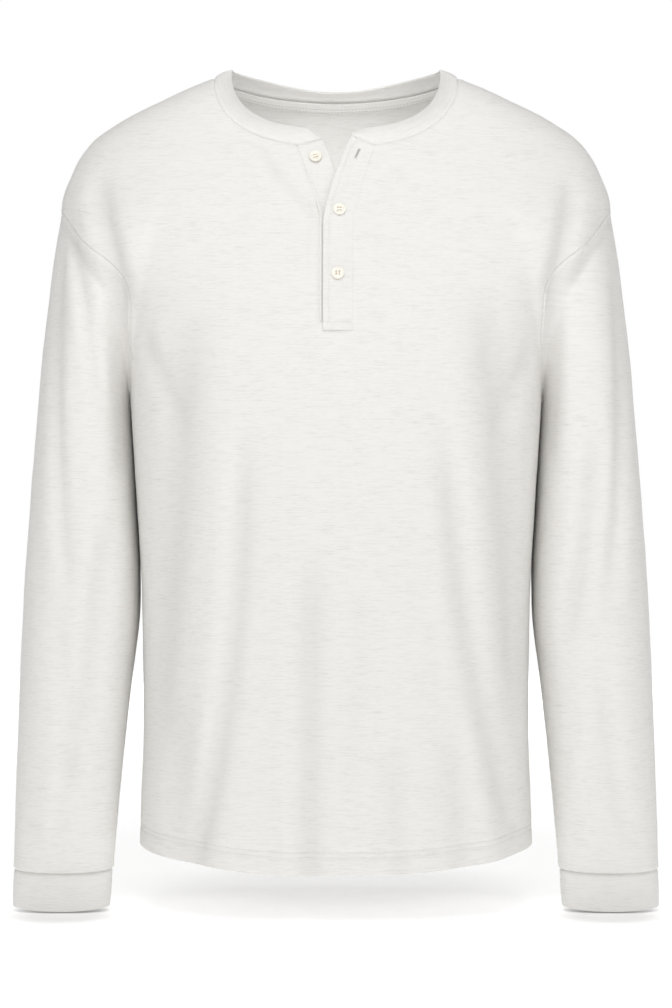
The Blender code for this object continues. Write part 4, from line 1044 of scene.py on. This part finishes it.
def jersey_material(name, strength=1.0):
    """Heather single jersey: off-white with fine level streaks of grey and rose, and knitted rows, with painted
    shade darkening its folds.
    """
    g = Graph(name)
    place = g.add("ShaderNodeUVMap", {"uv_map": "cloth"}).outputs[0]
    long_streaks = g.ramp(g.streaks(place, 0.0150, 0.00105, 3.0), 0.44, 0.80)
    short_streaks = g.ramp(g.streaks(place, 0.0065, 0.00085), 0.46, 0.84)
    rose = g.ramp(g.streaks(place, 0.0230, 0.00180, 3.0), 0.50, 0.80)
    cloud = g.ramp(g.streaks(place, 0.0500, 0.00900), 0.30, 0.75)
    fibre = g.ramp(g.streaks(place, 0.0012, 0.00045), 0.30, 0.70)
    grey = g.math("ADD", g.math("MULTIPLY", long_streaks, 0.38), g.math("MULTIPLY", short_streaks, 0.30))
    grey = g.math("MULTIPLY", grey, g.math("ADD", g.math("MULTIPLY", cloud, 0.7), 0.5))
    colour = g.mix(g.math("MULTIPLY", rose, 0.45 * strength), OFF_WHITE, ROSE_STREAK)
    colour = g.mix(g.math("MULTIPLY", grey, strength), colour, GREY_STREAK)
    colour = g.mix(g.math("MULTIPLY", fibre, 0.10), colour, GREY_STREAK)
    # Painted shade: the colour is darkened in the folds, more where the stored fold depth is deeper, in place of the
    # shade that falls there.
    trough = g.add("ShaderNodeAttribute", {"attribute_name": "trough"}).outputs["Fac"]
    colour = g.mix(g.ramp(trough, 0.0, DEEP_TROUGH), colour, g.mix(PAINTED_FOLD_SHADE, colour, (0.0, 0.0, 0.0, 1.0)))
    g.put(g.shader.inputs["Base Color"], colour)
    g.put(g.shader.inputs["Roughness"], g.math("ADD", g.math("MULTIPLY", fibre, 0.12), 0.80))
    across, up, _ = g.add("ShaderNodeSeparateXYZ", None, {0: place}).outputs
    wale = g.math("ABSOLUTE", g.math("SINE", g.math("MULTIPLY", across, math.pi / WALE)))
    turn = g.math("ADD", g.math("MULTIPLY", up, 2 * math.pi / COURSE), wale)
    loops = g.math("ADD", wale, g.math("MULTIPLY", g.math("SINE", turn), 0.5))
    height = g.math("ADD", g.math("MULTIPLY", loops, 0.25), g.math("MULTIPLY", fibre, 0.5))
    g.bump(g.math("SUBTRACT", height, g.math("MULTIPLY", grey, 0.8)), 0.35, 0.00022)
    g.shader.inputs["Specular IOR Level"].default_value = 0.20
    g.shader.inputs["Sheen Weight"].default_value = 0.18
    g.shader.inputs["Sheen Roughness"].default_value = 0.55
    g.shader.inputs["Sheen Tint"].default_value = (1.0, 0.99, 0.97, 1.0)
    return g.material


def thread_material(name, colour):
    """Twisted sewing thread."""
    g = Graph(name)
    place = g.add("ShaderNodeTexCoord").outputs["Object"]
    settings = {"wave_type": "BANDS", "bands_direction": "DIAGONAL"}
    twist = g.add("ShaderNodeTexWave", settings, {"Vector": place, "Scale": 900.0}).outputs["Fac"]
    dark = tuple(0.8 * value for value in colour)
    g.put(g.shader.inputs["Base Color"], g.mix(g.math("MULTIPLY", twist, 0.3), (*colour, 1.0), (*dark, 1.0)))
    g.put(g.shader.inputs["Roughness"], g.math("ADD", g.math("MULTIPLY", twist, 0.1), 0.55))
    g.bump(twist, 0.3, 0.0001)
    g.shader.inputs["Sheen Weight"].default_value = 0.1
    return g.material


def resin_material(name):
    """Cream polyester resin, faintly cloudy, with a soft gloss."""
    g = Graph(name)
    place = g.add("ShaderNodeTexCoord").outputs["Object"]
    cloud = g.add("ShaderNodeTexNoise", None, {"Vector": place, "Scale": 420.0, "Detail": 3.0}).outputs[0]
    grain = g.add("ShaderNodeTexNoise", None, {"Vector": place, "Scale": 2600.0, "Detail": 2.0}).outputs[0]
    tint = g.ramp(cloud, 0.35, 0.70)
    g.put(g.shader.inputs["Base Color"], g.mix(tint, (0.905, 0.870, 0.775, 1.0), (0.940, 0.915, 0.840, 1.0)))
    g.put(g.shader.inputs["Roughness"], g.math("ADD", g.math("MULTIPLY", grain, 0.12), 0.24))
    g.bump(grain, 0.15, 0.00004)
    return g.material


# --- sewing -----------------------------------------------------------------------------------------------------

THREAD_SIDES = 6
THREAD_RADIUS = 0.00014
STITCH_LENGTH, STITCH_PITCH = 0.0024, 0.0033


def add_threads(name, paths, material, radius=THREAD_RADIUS):
    """Threads, as one mesh of thin tubes: each path is its points and the way up from the cloth."""
    points, faces = [], []
    turns = 2 * math.pi * np.arange(THREAD_SIDES) / THREAD_SIDES
    for path, up in paths:
        ahead = unit(np.gradient(path, axis=0))
        side = unit(np.cross(ahead, up))
        above = np.cross(side, ahead)
        first = len(points)
        for centre, across, over in zip(path, side, above):
            points += [centre + radius * (across * math.cos(turn) + over * math.sin(turn)) for turn in turns]
        for ring in range(first, len(points) - THREAD_SIDES, THREAD_SIDES):
            for step in range(THREAD_SIDES):
                a, b = ring + step, ring + (step + 1) % THREAD_SIDES
                faces.append((a, b, b + THREAD_SIDES, a + THREAD_SIDES))
        faces.append(tuple(range(first + THREAD_SIDES - 1, first - 1, -1)))
        faces.append(tuple(range(len(points) - THREAD_SIDES, len(points))))
    mesh = bpy.data.meshes.new(name)
    mesh.from_pydata([tuple(point) for point in points], [], faces)
    mesh.materials.append(material)
    mesh.shade_smooth()
    return link(name, mesh)


class Station(NamedTuple):
    """A point of a stitch's path."""

    along: float  # share of its half length from its middle
    lift: float  # height over the cloth, in thread radii


STITCH_PATH = [
    Station(along=-1.00, lift=-1.5),
    Station(along=-0.88, lift=0.0),
    Station(along=-0.45, lift=0.7),
    Station(along=0.45, lift=0.7),
    Station(along=0.88, lift=0.0),
    Station(along=1.00, lift=-1.5),
]


def stitch(middle, ahead, up, length=STITCH_LENGTH, radius=THREAD_RADIUS):
    """The path of one stitch that lies on the cloth and goes in at both ends."""
    path = [middle + ahead * station.along * length / 2 + up * station.lift * radius for station in STITCH_PATH]
    return np.array(path), up


def stitches(line, normals):
    """Stitches one after another along a line on the cloth."""
    along = steps_along(line, 0)
    found = []
    for place in np.arange(STITCH_PITCH / 2, along[-1], STITCH_PITCH):
        ends = [place - STITCH_LENGTH / 2, place + STITCH_LENGTH / 2]
        start, end = np.stack([np.interp(ends, along, line[:, axis]) for axis in range(3)], axis=-1)
        normal = np.array([np.interp(place, along, normals[:, axis]) for axis in range(3)])
        ahead = unit(end - start)
        found.append(stitch((start + end) / 2, ahead, unit(normal - ahead * (normal @ ahead))))
    return found


def crossing(cloth, field, value, inside=False):
    """The line where each column's field reaches a value: its points on the cloth's face, and its normals."""
    face, sign = (cloth.inner(), -1) if inside else (cloth.outer(), 1)
    data = np.concatenate([face, sign * cloth.normals], axis=-1)
    columns = range(field.shape[1])
    line = np.array([[np.interp(value, field[:, j], data[:, j, axis]) for axis in range(6)] for j in columns])
    return line[:, :3], line[:, 3:]


def hem_stitches(name, cloth, rows, thread):
    found = []
    for height in HEM_STITCHES:
        row = np.abs(rows.above_hem - height).argmin()
        found += stitches(cloth.outer()[row], cloth.normals[row])
    return add_threads(name, found, thread)


def placket_stitches(name, cloth, thread):
    """The line inside the upper placket's free edge, and the one across its foot."""
    z = cloth.uv[..., 1]
    from_edge = cloth.from_start.T
    data = np.concatenate([cloth.outer(), cloth.normals], axis=-1)
    line = np.array([[np.interp(PLACKET_STITCH, from_edge[:, i], data[i, :, axis]) for axis in range(6)]
                     for i in range(len(data))])
    above_foot = z[:, 0] > BOX_STITCH_Z
    found = stitches(line[above_foot, :3], line[above_foot, 3:])
    found += stitches(*crossing(cloth, z, BOX_STITCH_Z))
    return add_threads(name, found, thread)


def tape_stitches(name, cloth, thread):
    found = []
    for height in TAPE_STITCHES:
        found += stitches(*crossing(cloth, cloth.from_bottom, height, inside=True))
    return add_threads(name, found, thread)


class Buttonhole(NamedTuple):
    """A slit in the upper placket, with stitched edges."""

    z: float
    length: float
    lean: float  # how far its top lies to the wearer's left of its foot, as a share of its length


BUTTONHOLES = [
    Buttonhole(z=-0.0868, length=0.0104, lean=0.34),
    Buttonhole(z=-0.1390, length=0.0108, lean=0.0),
    Buttonhole(z=-0.1964, length=0.0108, lean=0.0),
]
HOLE_EDGE = 0.00075  # from the slit's middle to the middle of its stitched edge
HOLE_STITCH, HOLE_PITCH = 0.0010, 0.00034
# SLIT_RADIUS is that of the dark tube laid in each slit as painted shadow.
SLIT_RADIUS = 0.00016


def placket_place(x, z):
    """The point on the upper placket's outer face at (x, z), and its normal."""
    normal = face_normal(x, z, FRONT)
    return face_point(x, z, FRONT) + normal * UPPER_LIFT, normal


def add_buttonholes(thread, shadow):
    """The stitched edges of the buttonholes, and a dark tube between them as painted shadow in each slit."""
    edges, slit_shadows = [], []
    for hole in BUTTONHOLES:
        middle_x = float(upper_edge_x(hole.z)) + PLACKET_WIDTH / 2
        place, normal = placket_place(middle_x, hole.z)
        ahead = unit(np.array([hole.lean, 0.0, 1.0]))
        ahead = unit(ahead - normal * (ahead @ normal))
        side = np.cross(ahead, normal)
        for along in np.arange(-hole.length / 2, hole.length / 2, HOLE_PITCH):
            for across in (-HOLE_EDGE, HOLE_EDGE):
                edges.append(stitch(place + ahead * along + side * across, side, normal, HOLE_STITCH))
        for end in (-1, 1):
            for offset in np.arange(0.0, 4 * HOLE_PITCH, HOLE_PITCH):
                bar = place + ahead * end * (hole.length / 2 + offset / 2)
                edges.append(stitch(bar, side, normal, 2 * HOLE_EDGE + HOLE_STITCH))
        # Painted shadow: a thin dark tube along the slit stands in for the shade inside it.
        slit_shadows.append(stitch(place, ahead, normal, hole.length, SLIT_RADIUS))
    return [
        add_threads("buttonhole_stitches", edges, thread),
        add_threads("buttonhole_slit_shadows", slit_shadows, shadow, SLIT_RADIUS),
    ]


# --- buttons ----------------------------------------------------------------------------------------------------


class Turning(NamedTuple):
    """A point of the button's turned profile."""

    out: float  # share of the radius
    up: float  # share of the thickness


BUTTON_PROFILE = [
    Turning(out=0.00, up=0.00),
    Turning(out=0.78, up=0.00),
    Turning(out=0.90, up=0.08),
    Turning(out=0.97, up=0.24),
    Turning(out=1.00, up=0.45),
    Turning(out=0.995, up=0.64),
    Turning(out=0.965, up=0.82),
    Turning(out=0.91, up=0.95),
    Turning(out=0.84, up=1.00),
    Turning(out=0.77, up=0.98),
    Turning(out=0.71, up=0.90),
    Turning(out=0.66, up=0.78),
    Turning(out=0.60, up=0.70),
    Turning(out=0.52, up=0.67),
    Turning(out=0.00, up=0.66),
]
HOLE_ANGLES = [math.radians(45 + 90 * quarter) for quarter in range(4)]
HOLE_SEGMENTS = 20
BUTTON_THREAD_RADIUS = 0.00022
STRANDS = (-0.00026, 0.0, 0.00026)  # how far the threads of one bar lie from its middle


class Button(NamedTuple):
    """A sewn button."""

    node: str
    z: float
    seam_x: object  # the left edge of the placket that it is on, at height z
    offset: float  # of its back off the smooth face
    turn: float  # degrees anticlockwise
    bars: tuple  # pairs of holes that its thread joins


LEVEL_BARS, UPRIGHT_BARS = ((0, 1), (3, 2)), ((0, 3), (1, 2))
BUTTONS = [
    Button("button_top", -0.0885, under_seam_x, SEAM_GAP, 12, LEVEL_BARS),
    Button("button_middle", -0.1390, upper_edge_x, 2 * SEAM_GAP + DOUBLE, 0, LEVEL_BARS),
    Button("button_bottom", -0.1964, upper_edge_x, 2 * SEAM_GAP + DOUBLE, 0, UPRIGHT_BARS),
]


def button_mesh():
    """A four-hole button lying on its back, with a rounded rim and a shallow dish."""
    body = bmesh.new()
    radius = BUTTON_DIAMETER / 2
    verts = [body.verts.new((point.out * radius, 0.0, point.up * BUTTON_THICKNESS)) for point in BUTTON_PROFILE]
    edges = [body.edges.new(pair) for pair in zip(verts, verts[1:])]
    spin = {"cent": (0, 0, 0), "axis": (0, 0, 1), "angle": 2 * math.pi, "steps": BUTTON_SEGMENTS}
    bmesh.ops.spin(body, geom=verts + edges, use_merge=True, **spin)
    bmesh.ops.remove_doubles(body, verts=body.verts, dist=1e-6)
    bmesh.ops.recalc_face_normals(body, faces=body.faces)
    pins = bmesh.new()
    for angle in HOLE_ANGLES:
        size = {"radius1": BUTTON_HOLE / 2, "radius2": BUTTON_HOLE / 2, "depth": 3 * BUTTON_THICKNESS}
        made = bmesh.ops.create_cone(pins, cap_ends=True, segments=HOLE_SEGMENTS, **size)
        place = (BUTTON_HOLE_SPREAD * math.cos(angle), BUTTON_HOLE_SPREAD * math.sin(angle), 0.0)
        bmesh.ops.translate(pins, verts=made["verts"], vec=place)
    objects = []
    for name, shape in (("button_body", body), ("button_pins", pins)):
        mesh = bpy.data.meshes.new(name)
        shape.to_mesh(mesh)
        shape.free()
        objects.append(bpy.data.objects.new(name, mesh))
        bpy.context.scene.collection.objects.link(objects[-1])
    holes = objects[0].modifiers.new("holes", "BOOLEAN")
    holes.operation = "DIFFERENCE"
    holes.object = objects[1]
    evaluated = objects[0].evaluated_get(bpy.context.evaluated_depsgraph_get())
    drilled = bpy.data.meshes.new_from_object(evaluated)
    for helper in objects:
        bpy.data.objects.remove(helper)
    drilled.materials.clear()
    drilled.shade_smooth()
    drilled.set_sharp_from_angle(angle=math.radians(40))
    return drilled


def bar_path(start, end, strand):
    """A thread's path out of one hole, over the dish and into another, in the button's own axes."""
    start, end = (BUTTON_HOLE_SPREAD * np.array([math.cos(a), math.sin(a), 0.0]) for a in (start, end))
    ahead = unit(end - start)
    across = np.cross([0.0, 0.0, 1.0], ahead) * strand
    dish = BUTTON_PROFILE[-1].up * BUTTON_THICKNESS
    low, high = 0.3 * BUTTON_THICKNESS, dish + 1.3 * BUTTON_THREAD_RADIUS - abs(strand) / 3
    inset = ahead * BUTTON_THREAD_RADIUS
    heights = [(start, low), (start + inset, dish), (start + 2.5 * inset, high)]
    heights += [(end - 2.5 * inset, high), (end - inset, dish), (end, low)]
    return np.array([point + across + [0.0, 0.0, height] for point, height in heights])


def add_button(button, mesh, resin, thread):
    x = float(button.seam_x(button.z)) + PLACKET_WIDTH / 2
    normal = Vector(face_normal(x, button.z, FRONT))
    place = Vector(face_point(x, button.z, FRONT)) + normal * button.offset
    turned = normal.to_track_quat("Z", "Y").to_matrix().to_4x4() @ Matrix.Rotation(math.radians(button.turn), 4, "Z")
    placed = Matrix.Translation(place) @ turned
    body = mesh.copy()
    body.name = button.node + "_resin"
    body.materials.append(resin)
    body.transform(placed)
    piece = link(body.name, body)
    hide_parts(button.node)
    paths = []
    for first, second in button.bars:
        for strand in STRANDS:
            path = bar_path(HOLE_ANGLES[first], HOLE_ANGLES[second], strand)
            side = placed.to_3x3() @ Vector(np.cross(path[3] - path[2], [0.0, 0.0, 1.0]))
            placed_path = np.array([placed @ Vector(point) for point in path])
            paths.append((placed_path, unit(np.cross(side, placed_path[3] - placed_path[2]))))
    add_threads(button.node + "_thread", paths, thread, BUTTON_THREAD_RADIUS)


# --- the whole shirt ----------------------------------------------------------------------------------------


def build_shirt():
    jersey = jersey_material("heather_jersey")
    band = jersey_material("heather_band", 0.85)
    tape = jersey_material("neck_tape", 0.6)
    thread = thread_material("sewing_thread", (0.72, 0.70, 0.66))
    tape_thread = thread_material("tape_thread", (0.42, 0.39, 0.36))
    button_thread = thread_material("button_thread", (0.74, 0.63, 0.46))
    # Painted shadow: a dark material for the tube laid in each buttonhole slit.
    shadow = thread_material("buttonhole_shadow", (0.22, 0.20, 0.17))
    resin = resin_material("button_resin")

    front_rows = PanelRows(NECK_SEAM_Z - NECK_FRONT_DROP, NECK_FRONT_POWER)
    back_rows = PanelRows(NECK_SEAM_Z - NECK_BACK_DROP, NECK_BACK_POWER)
    front, slit_left, slit_right, margin = front_grid(front_rows)
    front, back = raised(front), raised(back_grid(back_rows))
    bottom = front_rows.slit_bottom
    foot = front[bottom, margin] - [0.0, 0.0, PLACKET_FOOT]
    under = under_placket(front[bottom:, slit_left])
    upper = upper_placket(np.concatenate([[foot], front[bottom:, margin]]))
    sleeve, cuff = sleeve_grid(), cuff_grid()
    neckband = neckband_cloth(front, back, slit_left, margin, under.grid[-1], upper.grid[-1])
    cloths = {
        "front": front_cloth(front, front_rows, slit_left, slit_right),
        "back": panel_cloth(BACK, back, back_rows),
        "sleeve_left": sleeve_cloth(sleeve),
        "sleeve_right": sleeve_cloth(mirrored(sleeve)),
        "cuff_left": cuff_cloth(cuff),
        "cuff_right": cuff_cloth(mirrored(cuff)),
        "placket_under": under,
        "placket_upper": upper,
        "neckband": neckband,
    }
    share_normals(list(cloths.values()))
    cloths["neck_tape"] = tape_cloth(back, cloths["back"].normals[-1])
    looks = dict.fromkeys(cloths, (band, "band_jersey"))
    looks.update(dict.fromkeys(("front", "back", "sleeve_left", "sleeve_right"), (jersey, "jersey")))
    looks["neck_tape"] = (tape, "neck_tape")
    pieces = {name: add_cloth(name + "_cloth", name, cloth, *looks[name]) for name, cloth in cloths.items()}

    sewing = {
        "front": [hem_stitches("hem_stitches_front", cloths["front"], front_rows, thread)],
        "back": [hem_stitches("hem_stitches_back", cloths["back"], back_rows, thread)],
        "neck_tape": [tape_stitches("tape_stitches", cloths["neck_tape"], tape_thread)],
        "placket_upper": [
            placket_stitches("placket_stitches", upper, thread),
            *add_buttonholes(thread, shadow),
        ],
    }
    mesh = button_mesh()
    for button in BUTTONS:
        add_button(button, mesh, resin, button_thread)

    for name, piece in pieces.items():
        width, length, area = cloths[name].flat_size()


# --- camera, light and floor ----------------------------------------------------------------------------------

CAMERA_DISTANCE, CAMERA_Z = 2.5, -0.397
CAMERA_LENS, SENSOR_WIDTH = 97.6, 36.0  # millimetres
FLOOR_Z, FLOOR_SIZE = -0.7648, 7.0
NEAR_GLOW, FAR_GLOW, FAR_FADE = 0.56, 0.95, (1.20, 3.20)  # of the floor, and how far out it brightens
WORLD_LIGHT = 0.31


class PaintedShadow(NamedTuple):
    """A painted shadow: an ellipse of the floor where its glow is dimmed under the shirt."""

    x: float
    y: float
    half_width: float
    half_depth: float
    dim: float  # share of the floor's glow that is left in its middle


# Painted shadows: the floor's glow is dimmed under the shirt's body and under each cuff.
PAINTED_SHADOWS = [
    PaintedShadow(x=0.0, y=0.14, half_width=0.18, half_depth=0.13, dim=0.76),
    PaintedShadow(x=-0.244, y=-0.06, half_width=0.050, half_depth=0.052, dim=0.24),
    PaintedShadow(x=0.244, y=-0.06, half_width=0.050, half_depth=0.052, dim=0.24),
]
PAINTED_SHADOW_FADE = (0.45, 1.40)  # in shares of its size


class Lamp(NamedTuple):
    """A square soft box."""

    name: str
    place: tuple
    aim: tuple
    size: float
    power: float


LAMPS = [
    Lamp("right", (1.9, -2.6, 0.5), (0.0, 0.0, -0.30), 1.4, 9.0),
    Lamp("left", (-2.1, -2.4, 0.4), (0.0, 0.0, -0.30), 1.6, 6.5),
    Lamp("front", (0.0, -3.3, -0.33), (0.0, 0.0, -0.30), 0.8, 1.5),
    Lamp("top", (0.0, -2.1, 1.9), (0.0, 0.0, -0.30), 1.8, 21.0),
    Lamp("neck", (0.0, -0.60, 0.50), (0.0, 0.0, -0.08), 0.6, 2.2),
    Lamp("inside", (0.0, 0.00, -0.15), (0.0, 0.11, -0.03), 0.12, 0.12),
    Lamp("back", (0.0, 3.0, 0.3), (0.0, 0.0, -0.35), 1.8, 9.0),
]


def add_camera():
    camera = bpy.data.cameras.new("camera")
    camera.sensor_width = SENSOR_WIDTH
    camera.lens = CAMERA_LENS
    view = bpy.data.objects.new("camera", camera)
    view.location = (0.0, -CAMERA_DISTANCE, CAMERA_Z)
    view.rotation_euler = (math.pi / 2, 0.0, 0.0)
    bpy.context.scene.collection.objects.link(view)
    bpy.context.scene.camera = view


def add_lamp(lamp):
    light = bpy.data.lights.new(lamp.name, "AREA")
    light.size = lamp.size
    light.energy = lamp.power
    box = bpy.data.objects.new(lamp.name, light)
    box.location = lamp.place
    box.rotation_euler = (Vector(lamp.aim) - box.location).to_track_quat("-Z", "Y").to_euler()
    box.visible_camera = False
    bpy.context.scene.collection.objects.link(box)


def add_floor():
    g = Graph("studio_floor")
    grain = g.add("ShaderNodeTexNoise", None, {"Scale": 60.0, "Detail": 4.0}).outputs[0]
    g.put(g.shader.inputs["Base Color"], g.mix(grain, (0.93, 0.93, 0.93, 1.0), (0.96, 0.96, 0.96, 1.0)))
    g.shader.inputs["Roughness"].default_value = 0.9
    g.shader.inputs["Emission Color"].default_value = (1.0, 1.0, 1.0, 1.0)
    place = g.add("ShaderNodeTexCoord").outputs["Object"]
    # The floor's emission keeps it white, brighter far out where the lamps light it less.
    away = g.add("ShaderNodeVectorMath", {"operation": "LENGTH"}, {0: place}).outputs["Value"]
    glow_and_painted_shadows = g.math("ADD", g.math("MULTIPLY", g.ramp(away, *FAR_FADE), FAR_GLOW - NEAR_GLOW), NEAR_GLOW)
    # Painted shadows: each ellipse dims the floor's emission under the shirt's body or a cuff.
    for painted_shadow in PAINTED_SHADOWS:
        middle, size = (painted_shadow.x, painted_shadow.y, 0.0), (painted_shadow.half_width, painted_shadow.half_depth, 1.0)
        offset = g.add("ShaderNodeVectorMath", {"operation": "SUBTRACT"}, {0: place, 1: middle}).outputs["Vector"]
        share = g.add("ShaderNodeVectorMath", {"operation": "DIVIDE"}, {0: offset, 1: size}).outputs["Vector"]
        away = g.add("ShaderNodeVectorMath", {"operation": "LENGTH"}, {0: share}).outputs["Value"]
        left = g.math("ADD", g.math("MULTIPLY", g.ramp(away, *PAINTED_SHADOW_FADE), 1.0 - painted_shadow.dim), painted_shadow.dim)
        glow_and_painted_shadows = g.math("MULTIPLY", glow_and_painted_shadows, left)
    g.put(g.shader.inputs["Emission Strength"], glow_and_painted_shadows)
    half = FLOOR_SIZE / 2
    mesh = bpy.data.meshes.new("floor")
    corners = [(-half, -half, 0.0), (half, -half, 0.0), (half, half, 0.0), (-half, half, 0.0)]
    mesh.from_pydata(corners, [], [(0, 1, 2, 3)])
    mesh.materials.append(g.material)
    floor = bpy.data.objects.new("floor", mesh)
    floor.location.z = FLOOR_Z
    bpy.context.scene.collection.objects.link(floor)


def set_world():
    """White where the camera sees it, and soft light from all round."""
    world = bpy.data.worlds.new("studio")
    world.use_nodes = True
    nodes, links = world.node_tree.nodes, world.node_tree.links
    background = nodes["Background"]
    seen = nodes.new("ShaderNodeLightPath")
    strength = nodes.new("ShaderNodeMapRange")
    strength.inputs["To Min"].default_value = WORLD_LIGHT
    strength.inputs["To Max"].default_value = 1.0
    links.new(seen.outputs["Is Camera Ray"], strength.inputs["Value"])
    links.new(strength.outputs[0], background.inputs["Strength"])
    background.inputs["Color"].default_value = (1.0, 1.0, 1.0, 1.0)
    bpy.context.scene.world = world
    bpy.context.scene.view_settings.view_transform = "Standard"


build_shirt()
add_camera()
for lamp in LAMPS:
    add_lamp(lamp)
add_floor()
set_world()
